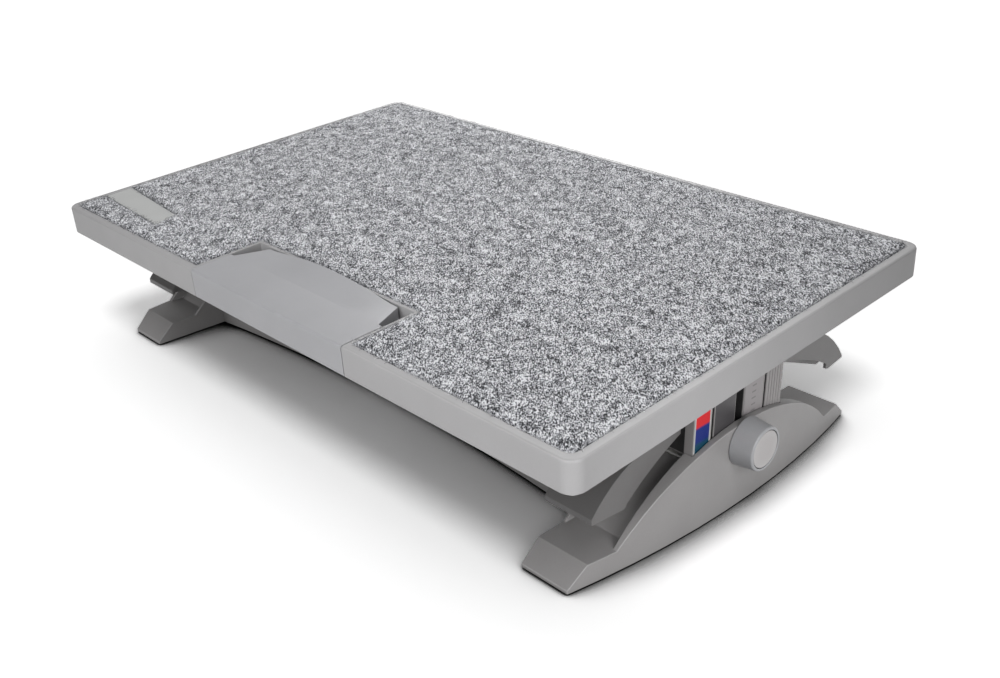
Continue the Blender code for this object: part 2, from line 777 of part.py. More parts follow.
def cross_plate(finish):
    """The plate between the legs: its long edges curve in, and a lug at each end goes under a leg."""
    reach = LEG_INSIDE - SEAT_GAP
    dip = TIE_HALF_AT_LEG - TIE_HALF_AT_MIDDLE
    radius = (reach**2 + dip**2) / (2 * dip)
    curve = arch(reach, TIE_HALF_AT_LEG, radius, ARC_STEPS)
    back = [(x, TIE_HALF_AT_LEG + TIE_HALF_AT_MIDDLE - y) for x, y in curve]
    front = [(x, -y) for x, y in reversed(back)]
    top = TIE_BOTTOM + TIE_HEIGHT
    plate = outline_solid("cross_plate", back + front, TIE_BOTTOM, top, "Z")
    lugs = box(
        "cross_plate_lugs",
        (-LEG_INSIDE - TIE_LUG_LENGTH, -TIE_LUG_HALF, TIE_BOTTOM),
        (LEG_INSIDE + TIE_LUG_LENGTH, TIE_LUG_HALF, TIE_BOTTOM + TIE_LUG_HEIGHT),
    )
    join(plate, lugs)
    windows = []
    for side in (-1, 1):
        low_x, high_x = span(side, TIE_WINDOW_GAP, TIE_WINDOW_GAP + TIE_WINDOW_LENGTH)
        corners = (low_x, -TIE_WINDOW_HALF), (high_x, TIE_WINDOW_HALF)
        outline = rounded_rectangle(*corners, TIE_WINDOW_GAP)
        window = f"cross_plate_window_{side + 1}"
        windows.append(outline_solid(window, outline, TIE_BOTTOM - OVERRUN, top + OVERRUN, "Z"))
    cut(plate, *windows)
    for label, side in SIDES:
        for end_label, end in ENDS:
            hole = rod(
                f"cross_plate_hole_{end_label}_{label}",
                SCREW_RADIUS + SEAT_GAP,
                (side * (LEG_INSIDE + TIE_SCREW_OUT), end * TIE_SCREW_ALONG, TIE_BOTTOM),
                2 * (TIE_LUG_HEIGHT + OVERRUN),
                "Z",
            )
            sink = rod(
                f"cross_plate_sink_{end_label}_{label}",
                SCREW_HEAD_RADIUS + SEAT_GAP,
                (side * (LEG_INSIDE + TIE_SCREW_OUT), end * TIE_SCREW_ALONG, TIE_BOTTOM),
                2 * (SCREW_HEAD_HEIGHT + SEAT_GAP),
                "Z",
            )
            cut(plate, hole, sink)
    return dress(plate, finish)


def tie_screw(label, side, end_label, end, finish):
    head = (
        side * (LEG_INSIDE + TIE_SCREW_OUT),
        end * TIE_SCREW_ALONG,
        TIE_BOTTOM + SCREW_HEAD_HEIGHT,
    )
    return screw(f"tie_screw_{end_label}_{label}", head, SCREW_LENGTH - SCREW_HEAD_HEIGHT, finish)


def clamp_nut(label, side, finish):
    name = "clamp_nut_" + label
    outline = hexagon(NUT_ACROSS, (0, KNOB_HEIGHT))
    near = BAY_INSIDE - NUT_THICK
    nut = outline_solid(name, outline, side * near, side * BAY_INSIDE, "X")
    bore = rod(
        name + "_bore",
        CLAMP_RADIUS + RUNNING_GAP,
        (side * (near + BAY_INSIDE) / 2, 0, KNOB_HEIGHT),
        NUT_THICK + OVERRUN,
        "X",
        ROUND,
    )
    cut(nut, bore)
    return dress(nut, finish)


def neck_profile():
    """The column's neck from the side: it narrows from the core to the boss round the axle."""
    past_level = math.radians(10)
    steps = ARC_STEPS // 2
    boss = arc((0, AXLE_HEIGHT), NECK_BOSS_RADIUS, -past_level, math.pi + past_level, steps)
    foot = COLUMN_CORE_TOP - OVERRUN
    near = [(NECK_HALF, foot), (NECK_HALF, COLUMN_CORE_TOP)]
    far = [(-NECK_HALF, COLUMN_CORE_TOP), (-NECK_HALF, foot)]
    return near + boss + far


def panel_span(index):
    """One of the four strips of the column's face, counted from the front, as lowest and highest Y."""
    inner = SLOT_HALF
    outer = COLUMN_HALF - PANEL_WIDTH
    plate = (inner, outer - GROOVE_WIDTH)
    panel = (outer, COLUMN_HALF)
    return {
        0: (-panel[1], -panel[0]),
        1: (-plate[1], -plate[0]),
        2: plate,
        3: panel,
    }[index]


def label_room(index):
    """A strip of the face with a margin, as the width of the label set in it."""
    low, high = panel_span(index)
    return low + PANEL_MARGIN, high - PANEL_MARGIN


def slot_profile(side):
    """The clamp's slot from the front: it is taller in the face plate than in the core."""
    inside = COLUMN_CORE_INSIDE - OVERRUN
    middle = COLUMN_INSIDE_OF_PLATE - OVERLAP
    outside = COLUMN_OUTSIDE + OVERRUN
    points = [
        (inside, SLOT_BOTTOM),
        (outside, SLOT_BOTTOM),
        (outside, SLOT_TOP),
        (middle, SLOT_TOP),
        (middle, CORE_SLOT_TOP),
        (inside, CORE_SLOT_TOP),
    ]
    return [(side * x, z) for x, z in points]


def column(label, side, finish):
    """A column: the broad face plate, the core that slides in the guide, and the neck round the axle."""
    name = "column_" + label
    plate = side_box(
        name,
        side,
        COLUMN_INSIDE_OF_PLATE,
        COLUMN_OUTSIDE,
        (-COLUMN_HALF, COLUMN_HALF),
        (COLUMN_BOTTOM, COLUMN_TOP),
    )
    core = side_box(
        name + "_core",
        side,
        COLUMN_CORE_INSIDE,
        COLUMN_INSIDE_OF_PLATE + OVERLAP,
        (-COLUMN_CORE_HALF, COLUMN_CORE_HALF),
        (COLUMN_BOTTOM, COLUMN_CORE_TOP),
    )
    neck_inside = COLUMN_CORE_INSIDE + OVERLAP
    neck = outline_solid(name + "_neck", neck_profile(), side * neck_inside, side * NECK_OUTSIDE, "X")
    join(plate, core, neck)
    axle_hole = rod(
        name + "_axle_hole",
        AXLE_RADIUS + RUNNING_GAP,
        (side * (COLUMN_CORE_INSIDE + NECK_OUTSIDE) / 2, 0, AXLE_HEIGHT),
        NECK_OUTSIDE - COLUMN_CORE_INSIDE + OVERRUN,
        "X",
        ROUND,
    )
    slot = outline_solid(name + "_slot", slot_profile(side), -SLOT_HALF, SLOT_HALF, "Y")
    cut(plate, axle_hole, slot)
    groove_edge = COLUMN_HALF - PANEL_WIDTH - GROOVE_WIDTH
    grooves = []
    for end in (-1, 1):
        low_y, high_y = span(end, groove_edge, groove_edge + GROOVE_WIDTH)
        low_x, high_x = span(side, COLUMN_OUTSIDE - GROOVE_DEPTH, COLUMN_OUTSIDE + OVERRUN)
        top = COLUMN_TOP + OVERRUN
        grooves.append(((low_x, low_y, COLUMN_BOTTOM - OVERRUN), (high_x, high_y, top)))
    strip_low, strip_high = panel_span(3)
    pitch = (strip_high - strip_low) / (STRIP_COUNT + 1)
    for i in range(STRIP_COUNT):
        middle = strip_low + pitch * (i + 1)
        low_x, high_x = span(side, COLUMN_OUTSIDE - STRIP_GROOVE_DEPTH, COLUMN_OUTSIDE + OVERRUN)
        low_y = middle - STRIP_GROOVE_WIDTH / 2
        high_y = middle + STRIP_GROOVE_WIDTH / 2
        grooves.append(((low_x, low_y, LABEL_BOTTOM), (high_x, high_y, COLUMN_TOP + OVERRUN)))
    for index in (0, 2):
        low_y, high_y = label_room(index)
        depth = LABEL_THICKNESS + SEAT_GAP
        low_x, high_x = span(side, COLUMN_OUTSIDE - depth, COLUMN_OUTSIDE + OVERRUN)
        low = (low_x, low_y - SEAT_GAP, LABEL_BOTTOM - SEAT_GAP)
        grooves.append((low, (high_x, high_y + SEAT_GAP, COLUMN_TOP + OVERRUN)))
    cut(plate, boxes(name + "_grooves", grooves))
    return dress(plate, finish)


def face_label(name, side, index, finish):
    """A thin printed plate let flush into the column's face."""
    low_y, high_y = label_room(index)
    plate = side_box(
        name,
        side,
        COLUMN_OUTSIDE - LABEL_THICKNESS,
        COLUMN_OUTSIDE,
        (low_y, high_y),
        (LABEL_BOTTOM, COLUMN_TOP),
    )
    return dress(plate, finish)


def centre_of_axle():
    return (0, 0, AXLE_HEIGHT)


def axle(finish):
    length = 2 * (COLUMN_INSIDE_OF_PLATE - SEAT_GAP)
    return dress(rod("tilt_axle", AXLE_RADIUS, centre_of_axle(), length, "X", ROUND), finish)


def axle_clip(label, side, finish):
    """A spring clip on the axle, inside the cradle's inner ear."""
    outer = CRADLE_INNER_EAR - BUSH_FLANGE_THICK - 2 * SEAT_GAP
    inner = outer - CLIP_THICK
    bore = AXLE_RADIUS + RUNNING_GAP
    rim = AXLE_RADIUS + CLIP_RIM
    profile = [(bore, inner), (rim, inner), (rim, outer), (bore, outer)]
    return dress(ring("axle_clip_" + label, profile, centre_of_axle(), side), finish)


def lock_rim(finish):
    """The rim of the tilt lock: a sector of a wheel on the axle, towards the pedal."""
    start = math.pi - LOCK_RIM_ABOVE
    end = math.pi + LOCK_RIM_BELOW
    centre = (0, AXLE_HEIGHT)
    rim = arc(centre, LOCK_RIM_RADIUS, start, end, SMALL_ROUND)
    hub = arc(centre, LOCK_HUB_RADIUS, end, start + 2 * math.pi, SMALL_ROUND)
    sector = outline_solid("lock_rim", rim + hub, -LOCK_RIM_HALF, LOCK_RIM_HALF, "X")
    reach = 2 * (LOCK_RIM_HALF + OVERRUN)
    cut(sector, rod("lock_rim_bore", AXLE_RADIUS + RUNNING_GAP, centre_of_axle(), reach, "X", ROUND))
    return dress(sector, finish)


def knob_face():
    """The height of the flat in the knob's recess, over the knob's foot."""
    return KNOB_REACH - KNOB_CAP_THICK - KNOB_CAP_SINK - SEAT_GAP


def knob(label, side, finish):
    """A knob that widens to its root, with a round recess in its face and a hexagon for the clamp screw."""
    name = "knob_" + label
    quarter = math.pi / 2
    corner = arc(
        (KNOB_FRONT_RADIUS - KNOB_ROUND, KNOB_REACH - KNOB_ROUND), KNOB_ROUND, quarter, 0, 3
    )
    room = KNOB_CAP_RADIUS + SEAT_GAP
    bore = CLAMP_RADIUS + RUNNING_GAP
    floor = knob_face()
    foot = LEG_OUTSIDE + SEAT_GAP
    profile = [(bore, 0), (bore, floor), (room, floor), (room, KNOB_REACH)] + corner
    profile += [(KNOB_ROOT_RADIUS, 0)]
    body = ring(name, profile, (side * foot, 0, KNOB_HEIGHT), side)
    start = foot + floor - CLAMP_HEX_THICK - SEAT_GAP
    hexagon_room = outline_solid(
        name + "_hexagon",
        hexagon(CLAMP_HEX_ACROSS + 2 * SEAT_GAP, (0, KNOB_HEIGHT)),
        side * start,
        side * (start + KNOB_REACH),
        "X",
    )
    cut(body, hexagon_room)
    return dress(body, finish)


def knob_cap(label, side, finish):
    """The flat disc in the knob's face, with its edge broken."""
    name = "knob_cap_" + label
    top = KNOB_REACH - KNOB_CAP_SINK
    bottom = top - KNOB_CAP_THICK
    foot = LEG_OUTSIDE + SEAT_GAP
    centre = (side * (foot + (top + bottom) / 2), 0, KNOB_HEIGHT)
    return dress(rod(name, KNOB_CAP_RADIUS, centre, KNOB_CAP_THICK, "X", ROUND), finish)


def clamp_screw(label, side, finish):
    """A hexagon-headed screw, from the knob through the leg and the column's slot into the nut."""
    name = "clamp_screw_" + label
    head_out = LEG_OUTSIDE + knob_face()
    head_in = head_out - CLAMP_HEX_THICK
    tip = BAY_INSIDE - NUT_THICK
    outline = hexagon(CLAMP_HEX_ACROSS, (0, KNOB_HEIGHT))
    head = outline_solid(name, outline, side * head_in, side * head_out, "X")
    shank = rod(
        name + "_shank",
        CLAMP_RADIUS,
        (side * (tip + head_in + OVERLAP) / 2, 0, KNOB_HEIGHT),
        head_in + OVERLAP - tip,
        "X",
    )
    join(head, shank)
    return dress(head, finish)


def clamp_washer(label, side, finish):
    low = LEG_OUTSIDE - WASHER_SINK + SEAT_GAP
    high = low + WASHER_THICK
    bore = CLAMP_RADIUS + SEAT_GAP
    profile = [(bore, low), (WASHER_RADIUS, low), (WASHER_RADIUS, high), (bore, high)]
    return dress(ring("clamp_washer_" + label, profile, (0, 0, KNOB_HEIGHT), side), finish)


def inset_ring(inset, height):
    """The platform's outline drawn in by a distance, at a height."""
    low = (-HALF_LENGTH + inset, FRONT + inset)
    high = (HALF_LENGTH - inset, BACK - inset)
    radius = PLATFORM_CORNER - inset
    return [(x, y, height) for x, y in rounded_rectangle(low, high, radius, 6)]


def tray_pockets():
    """The hollows under the deck, between the ribs: lowest and highest corners."""
    half_rib = RIB_THICKNESS / 2
    edge = HALF_LENGTH - SKIRT_WALL
    rails = [CRADLE_INSIDE + half_rib, CRADLE_OUTSIDE - half_rib]
    frame_line = FRAME_HALF + half_rib
    inner = [share * frame_line for share in INNER_RIB_SHARES]
    outer = [frame_line + share * (rails[0] - frame_line) for share in OUTER_RIB_SHARES]
    lines = inner + [frame_line] + outer + rails
    starts = [0] + [line + half_rib for line in lines]
    ends = [line - half_rib for line in lines] + [edge]
    bays = [(-ends[0], ends[0])]
    for start, end in zip(starts[1:], ends[1:]):
        bays += [(start, end), (-end, -start)]
    cross = CROSS_RIB_SHARE * PLATFORM_DEPTH / 2
    rows = (
        (FRONT + SKIRT_WALL, -cross - half_rib),
        (-cross + half_rib, cross - half_rib),
        (cross + half_rib, BACK - SKIRT_WALL),
    )
    found = []
    for low_x, high_x in bays:
        for i, (low_y, high_y) in enumerate(rows):
            behind_pedal = i == 0 and low_x < FRAME_HALF and high_x > -FRAME_HALF
            start_y = FRAME_BACK if behind_pedal else low_y
            found.append(((low_x, start_y, UNDERSIDE - OVERRUN), (high_x, high_y, DECK_BOTTOM)))
    return found


def post_places():
    """Where screws go up into the tray: two for the lock's bracket and two for each cradle."""
    places = [(side * BRACKET_SCREW_OUT, LEVER_PIVOT_Y) for side in (-1, 1)]
    for _, side in SIDES:
        for end in (-1, 1):
            places.append(cradle_screw_place(side, end))
    return places


def cradle_screw_place(side, end):
    middle = (CRADLE_INNER_RIB + CRADLE_MIDDLE_RIB + CRADLE_WALL) / 2
    return side * middle, end * CRADLE_SCREW_ALONG


def tray(finish):
    """The platform's moulding: rim and skirt, deck, ribs, screw posts, and the notch for the pedal."""
    turn = PLATFORM_EDGE_ROUND
    half_turn = math.pi / 4
    rings = [
        inset_ring(0, UNDERSIDE),
        inset_ring(0, TOP - turn),
        inset_ring(turn * (1 - math.cos(half_turn)), TOP - turn * (1 - math.sin(half_turn))),
        inset_ring(turn, TOP),
    ]
    solid = loft("platform_tray", rings, platform_pivot)
    recess = outline_solid(
        "tray_recess",
        rounded_rectangle(
            (-HALF_LENGTH + RIM_WIDTH, FRONT + RIM_WIDTH),
            (HALF_LENGTH - RIM_WIDTH, BACK - RIM_WIDTH),
            CARPET_CORNER,
        ),
        DECK_TOP,
        TOP + OVERRUN,
        "Z",
        platform_pivot,
    )
    frame = box(
        "tray_pedal_frame",
        (-FRAME_HALF, FRONT + RIM_WIDTH - OVERRUN, DECK_TOP - OVERLAP),
        (FRAME_HALF, FRAME_BACK, TOP + 2 * OVERRUN),
        platform_pivot,
    )
    cut(recess, frame)
    cut(solid, recess)
    cut(solid, boxes("tray_pockets", tray_pockets(), platform_pivot))
    for i, (x, y) in enumerate(post_places()):
        height = DECK_BOTTOM + OVERLAP - UNDERSIDE
        centre = (x, y, UNDERSIDE + height / 2)
        join(solid, rod(f"tray_post_{i}", POST_RADIUS, centre, height, "Z", parent=platform_pivot))
    for i, (x, y) in enumerate(post_places()):
        centre = (x, y, UNDERSIDE)
        bore = SCREW_RADIUS + SEAT_GAP
        reach = 2 * SCREW_LENGTH
        cut(solid, rod(f"tray_post_hole_{i}", bore, centre, reach, "Z", parent=platform_pivot))
    skirt_back = FRONT + PEDAL_SKIRT + PEDAL_BACK_GAP
    front_notch = box(
        "tray_front_notch",
        (-NOTCH_HALF, FRONT - OVERRUN, UNDERSIDE - OVERRUN),
        (NOTCH_HALF, skirt_back, TOP + OVERRUN),
        platform_pivot,
    )
    back_notch = box(
        "tray_back_notch",
        (-NOTCH_HALF, skirt_back - OVERLAP, FLOOR_TOP),
        (NOTCH_HALF, NOTCH_BACK, TOP + OVERRUN),
        platform_pivot,
    )
    finger_front, finger_back = finger_span()
    window = box(
        "tray_finger_window",
        (-FINGER_HALF - FINGER_ROOM, finger_front - FINGER_ROOM, UNDERSIDE - OVERRUN),
        (FINGER_HALF + FINGER_ROOM, finger_back + FINGER_ROOM, FLOOR_TOP + OVERLAP),
        platform_pivot,
    )
    cut(solid, front_notch, back_notch, window)
    for label, side in SIDES:
        hole = rod(
            "tray_pin_hole_" + label,
            PEDAL_PIN_RADIUS + RUNNING_GAP,
            (side * (NOTCH_HALF + RIB_THICKNESS), PEDAL_PIN_Y, PEDAL_PIN_Z),
            2 * (PEDAL_FRAME_WALL + RIB_THICKNESS),
            "X",
            parent=platform_pivot,
        )
        cut(solid, hole)
    return dress(solid, finish)


def tag_outline():
    """The bare plate from above: square to the left rim, with its right end slanted."""
    left = -HALF_LENGTH + RIM_WIDTH
    front = FRONT + TAG_FROM_FRONT
    corners = [
        (left, front),
        (left + TAG_LENGTH, front - TAG_SKEW),
        (left + TAG_LENGTH - TAG_SLANT, front - TAG_SKEW + TAG_DEPTH - TAG_TAPER),
        (left, front + TAG_DEPTH),
    ]
    return corners


def grown(points, distance):
    """A convex outline, run anticlockwise, with each side moved out by a distance."""
    count = len(points)
    lines = []
    for i in range(count):
        (ax, ay), (bx, by) = points[i], points[(i + 1) % count]
        length = math.hypot(bx - ax, by - ay)
        nx, ny = (by - ay) / length, -(bx - ax) / length
        lines.append((nx, ny, nx * ax + ny * ay + distance))
    found = []
    for i in range(count):
        a, b, c = lines[i - 1]
        d, e, f = lines[i]
        det = a * e - b * d
        found.append(((c * e - b * f) / det, (a * f - c * d) / det))
    return found


def carpet(finish):
    """The textile pad in the tray, with the pedal's corner and the bare plate's place left out."""
    inset = RIM_WIDTH + CARPET_GAP
    low = (-HALF_LENGTH + inset, FRONT + inset)
    high = (HALF_LENGTH - inset, BACK - inset)
    outline = rounded_rectangle(low, high, CARPET_CORNER - CARPET_GAP)
    bottom = DECK_TOP + SEAT_GAP
    pad = outline_solid("carpet_pad", outline, bottom, bottom + CARPET_THICKNESS, "Z", platform_pivot)
    pedal_room = box(
        "carpet_pedal_room",
        (-FRAME_HALF - CARPET_GAP, FRONT - OVERRUN, bottom - OVERRUN),
        (FRAME_HALF + CARPET_GAP, FRAME_BACK + CARPET_GAP, TOP + OVERRUN),
        platform_pivot,
    )
    (ax, ay), (bx, by), (cx, cy), (dx, dy) = grown(tag_outline(), CARPET_GAP)
    tag_room = outline_solid(
        "carpet_tag_room",
        [(ax - OVERRUN, ay), (bx, by), (cx, cy), (dx - OVERRUN, dy)],
        bottom - OVERRUN,
        TOP + OVERRUN,
        "Z",
        platform_pivot,
    )
    cut(pad, pedal_room, tag_room)
    return dress(pad, finish)


def tag_plate(finish):
    outline = grown(tag_outline(), -SEAT_GAP)
    bottom = DECK_TOP + SEAT_GAP
    plate = outline_solid("tag_plate", outline, bottom, bottom + TAG_THICKNESS, "Z", platform_pivot)
    return dress(plate, finish)


def finger_span():
    """The pedal's finger from front to back, in the platform's frame."""
    back = PEDAL_BACK - FINGER_BACK
    return back - FINGER_DEPTH, back


def pedal_section(x):
    """One section of the pedal in its own frame on the hinge pin, from its front foot round."""
    share = x / PEDAL_CREST_HALF
    crest = max(PEDAL_CREST * (1 - share * share), -PEDAL_CREST_DROP)
    front = -PEDAL_PIN_BACK
    back = front + PEDAL_DEPTH
    top = PEDAL_PIN_DOWN
    bottom = top - PLATFORM_THICKNESS
    crease = front + PEDAL_FLAT
    skirt = front + PEDAL_SKIRT
    floor = bottom + PEDAL_FLOOR
    turn = PEDAL_EDGE_ROUND
    ramp = []
    for i in range(1, RAMP_STEPS + 1):
        part = i / RAMP_STEPS
        rise = crest * part * part * (3 - 2 * part)
        ramp.append((crease + (back - crease) * part, top + rise))
    broken = turn / 3
    nose = [(front, bottom), (front, top - turn), (front + broken, top - broken), (front + turn, top)]
    low = floor + PEDAL_LIFT
    foot = [(back, low + PEDAL_SINK), (skirt, low), (skirt, bottom)]
    return [(x, y, z) for y, z in nose + [(crease, top)] + ramp + foot]


def pedal_plan(wall=0.0):
    """The pedal from above, or the hollow in it behind a wall: it narrows behind the crease."""
    front = -PEDAL_PIN_BACK + wall
    crease = front + PEDAL_FLAT - 2 * wall
    back = PEDAL_DEPTH - PEDAL_PIN_BACK - wall
    if wall == 0:
        front -= OVERRUN
    half = [
        (PEDAL_HALF - wall, front),
        (PEDAL_HALF - wall, crease),
        (PEDAL_CREASE_HALF - wall, crease),
        (PEDAL_BACK_HALF - wall, back),
    ]
    return half + [(-x, y) for x, y in reversed(half)]


def pedal(finish):
    """The pedal: a shell open beneath, with a raised crest at the back and a finger for the lock's lever."""
    rings = []
    reach = PEDAL_HALF + OVERRUN
    for i in range(PEDAL_STATIONS):
        rings.append(pedal_section(reach * (2 * i / (PEDAL_STATIONS - 1) - 1)))
    shell = loft("pedal", rings, pedal_pivot)
    bottom = PEDAL_PIN_DOWN - PLATFORM_THICKNESS
    high = PEDAL_PIN_DOWN + 2 * PEDAL_CREST
    plan = outline_solid("pedal_plan", pedal_plan(), bottom - OVERRUN, high, "Z", pedal_pivot)
    change(shell, plan, "INTERSECT")
    inner = pedal_plan(PEDAL_WALL)
    roof = PEDAL_PIN_DOWN - PEDAL_ROOF
    cut(shell, outline_solid("pedal_hollow", inner, bottom - OVERRUN, roof, "Z", pedal_pivot))
    finger_front, finger_back = (y - PEDAL_PIN_Y for y in finger_span())
    finger = box(
        "pedal_finger",
        (-FINGER_HALF, finger_front, bottom - FINGER_BELOW),
        (FINGER_HALF, finger_back, roof + OVERLAP),
        pedal_pivot,
    )
    join(shell, finger)
    for label, side in SIDES:
        hole = rod(
            "pedal_pin_hole_" + label,
            PEDAL_PIN_RADIUS + RUNNING_GAP,
            (side * PEDAL_HALF, 0, 0),
            2 * PEDAL_WALL + OVERRUN,
            "X",
            parent=pedal_pivot,
        )
        cut(shell, hole)
    return dress(shell, finish)


def pedal_pin(label, side, finish):
    inner = PEDAL_HALF - PEDAL_PIN_GRIP
    outer = FRAME_HALF + RIB_THICKNESS
    centre = (side * (inner + outer) / 2, PEDAL_PIN_Y, PEDAL_PIN_Z)
    pin = rod("pedal_pin_" + label, PEDAL_PIN_RADIUS, centre, outer - inner, "X", parent=platform_pivot)
    return dress(pin, finish)


def wing_sizes(end):
    """How far the wing's tip, heel and crown lie from the axle, and how deep its crown lies."""
    if end < 0:
        return CRADLE_FRONT, CRADLE_FRONT_HEEL, CRADLE_FRONT_CROWN, CRADLE_FRONT_CROWN_DEPTH
    return CRADLE_BACK, CRADLE_BACK_HEEL, CRADLE_BACK_CROWN, CRADLE_BACK_CROWN_DEPTH


def tip_depth(end):
    """How deep the lower corner of the wing's tip lies."""
    return CRADLE_FRONT_TIP_DEPTH if end < 0 else CRADLE_BACK_TIP_DEPTH


def wing_top(end, wall=0.0):
    """The curve along the wing's top from its crown to its tip, or along the inner side of its wall."""
    tip, _, crown, depth = wing_sizes(end)
    radius = CRADLE_TOP_RADIUS - wall
    last = math.acos((tip - wall - crown) / radius)
    centre = (crown, UNDERSIDE - depth - CRADLE_TOP_RADIUS)
    curve = arc(centre, radius, math.pi / 2, last, CRADLE_ARC_STEPS)
    return [(end * y, z) for y, z in curve]


def wing_arc(end, start):
    """The arc that is cut from the wing's lower side, from near the column out to the heel."""
    _, heel, _, _ = wing_sizes(end)
    behind = end * CRADLE_ARC_BEHIND
    centre = (behind, UNDERSIDE - CRADLE_ARC_CROWN - CRADLE_ARC_RADIUS)
    first = math.acos((start - behind) / CRADLE_ARC_RADIUS)
    last = math.acos((heel - CRADLE_WALL - behind) / CRADLE_ARC_RADIUS)
    return [(end * y, z) for y, z in arc(centre, CRADLE_ARC_RADIUS, first, last, CRADLE_ARC_STEPS)]


def cradle_half(end):
    """Half of the cradle from the side, from the flange's underside round the wing to the flange's top."""
    tip, heel, crown, _ = wing_sizes(end)
    _, low = wing_arc(end, CRADLE_GAP_HALF)[0]
    points = [
        (end * CRADLE_GAP_HALF, FLANGE_BOTTOM),
        (end * CRADLE_GAP_HALF, low - OVERLAP),
        (end * heel, UNDERSIDE - CRADLE_HEEL_DEPTH),
        (end * tip, UNDERSIDE - tip_depth(end)),
    ]
    return points + wing_top(end)[::-1] + [(end * crown, FLANGE_TOP)]


def cradle_hollow(end):
    """The room between the cradle's ribs from the side, open beneath and towards the column."""
    tip, _, crown, depth = wing_sizes(end)
    below = UNDERSIDE - CRADLE_HEEL_DEPTH - OVERRUN
    near = CRADLE_GAP_HALF - OVERRUN
    wall = crown - CRADLE_WALL
    points = [
        (end * near, below),
        (end * near, FLANGE_BOTTOM + OVERLAP),
        (end * wall, FLANGE_BOTTOM + OVERLAP),
        (end * wall, UNDERSIDE - depth - CRADLE_WALL),
    ]
    return points + wing_top(end, CRADLE_WALL) + [(end * (tip - CRADLE_WALL), below)]


def cradle_arc_room(end):
    """What the arc takes from the cradle's walls, seen from the side."""
    _, heel, _, _ = wing_sizes(end)
    below = UNDERSIDE - CRADLE_HEEL_DEPTH - OVERRUN
    near = CRADLE_GAP_HALF - OVERRUN
    return wing_arc(end, near) + [(end * (heel - CRADLE_WALL), below), (end * near, below)]


def cradle(label, side, finish):
    """A cradle: a flange under the platform, two hollow wings that nest in the leg, ears for the axle."""
    name = "cradle_" + label
    profile = cradle_half(1) + cradle_half(-1)[::-1]
    body = outline_solid(name, profile, side * CRADLE_INSIDE, side * CRADLE_OUTSIDE, "X", platform_pivot)
    rooms = (
        ("strip", CRADLE_INSIDE - OVERRUN, CRADLE_INNER_RIB),
        ("broad", CRADLE_INNER_RIB + CRADLE_WALL, CRADLE_MIDDLE_RIB),
        ("narrow", CRADLE_MIDDLE_RIB + CRADLE_WALL, CRADLE_OUTSIDE - CRADLE_WALL),
    )
    arches = (
        ("inner", CRADLE_INSIDE - 2 * OVERRUN, CRADLE_MIDDLE_RIB - OVERLAP),
        ("outer", CRADLE_MIDDLE_RIB + CRADLE_WALL + OVERLAP, CRADLE_OUTSIDE + OVERRUN),
    )
    for end_label, end in ENDS:
        for shape, cutters_of_shape in ((cradle_arc_room, arches), (cradle_hollow, rooms)):
            for label_of_cut, inside, outside in cutters_of_shape:
                tool = outline_solid(
                    f"{name}_{label_of_cut}_{shape.__name__}_{end_label}",
                    shape(end),
                    side * inside,
                    side * outside,
                    "X",
                    platform_pivot,
                )
                cut(body, tool)
    ears = (
        ("outer", EAR_OUTSIDE - CRADLE_WALL),
        ("inner", CRADLE_INNER_EAR),
    )
    for ear_label, inside in ears:
        ear = side_box(
            f"{name}_ear_{ear_label}",
            side,
            inside,
            inside + CRADLE_WALL,
            (-EAR_HALF, EAR_HALF),
            (-EAR_BELOW, FLANGE_TOP - OVERLAP),
            platform_pivot,
        )
        bore = rod(
            f"{name}_bore_{ear_label}",
            AXLE_RADIUS + BUSH_WALL + RUNNING_GAP,
            (side * (inside + CRADLE_WALL / 2), 0, 0),
            CRADLE_WALL + OVERRUN / 2,
            "X",
            ROUND,
            platform_pivot,
        )
        join(body, ear)
        cut(body, bore)
    for end_label, end in ENDS:
        x, y = cradle_screw_place(side, end)
        hole = rod(
            f"{name}_hole_{end_label}",
            SCREW_RADIUS + SEAT_GAP,
            (x, y, FLANGE_TOP),
            2 * (CRADLE_FLANGE + OVERRUN),
            "Z",
            parent=platform_pivot,
        )
        cut(body, hole)
    return dress(body, finish)


def bush(label, side, ear_label, inside, finish):
    """A flanged bush in one ear of the cradle, with its flange on the inner side."""
    bore = AXLE_RADIUS + RUNNING_GAP
    sleeve = AXLE_RADIUS + BUSH_WALL
    collar = sleeve + BUSH_FLANGE
    low = inside - SEAT_GAP - BUSH_FLANGE_THICK
    step = inside - SEAT_GAP
    high = inside + CRADLE_WALL
    profile = [(bore, low), (collar, low), (collar, step), (sleeve, step), (sleeve, high), (bore, high)]
    return dress(ring(f"bush_{ear_label}_{label}", profile, (0, 0, 0), side, platform_pivot), finish)


def cradle_screw(label, side, end_label, end, finish):
    x, y = cradle_screw_place(side, end)
    head = (x, y, FLANGE_BOTTOM - SEAT_GAP)
    return screw(f"cradle_screw_{end_label}_{label}", head, SCREW_LENGTH, finish, platform_pivot)


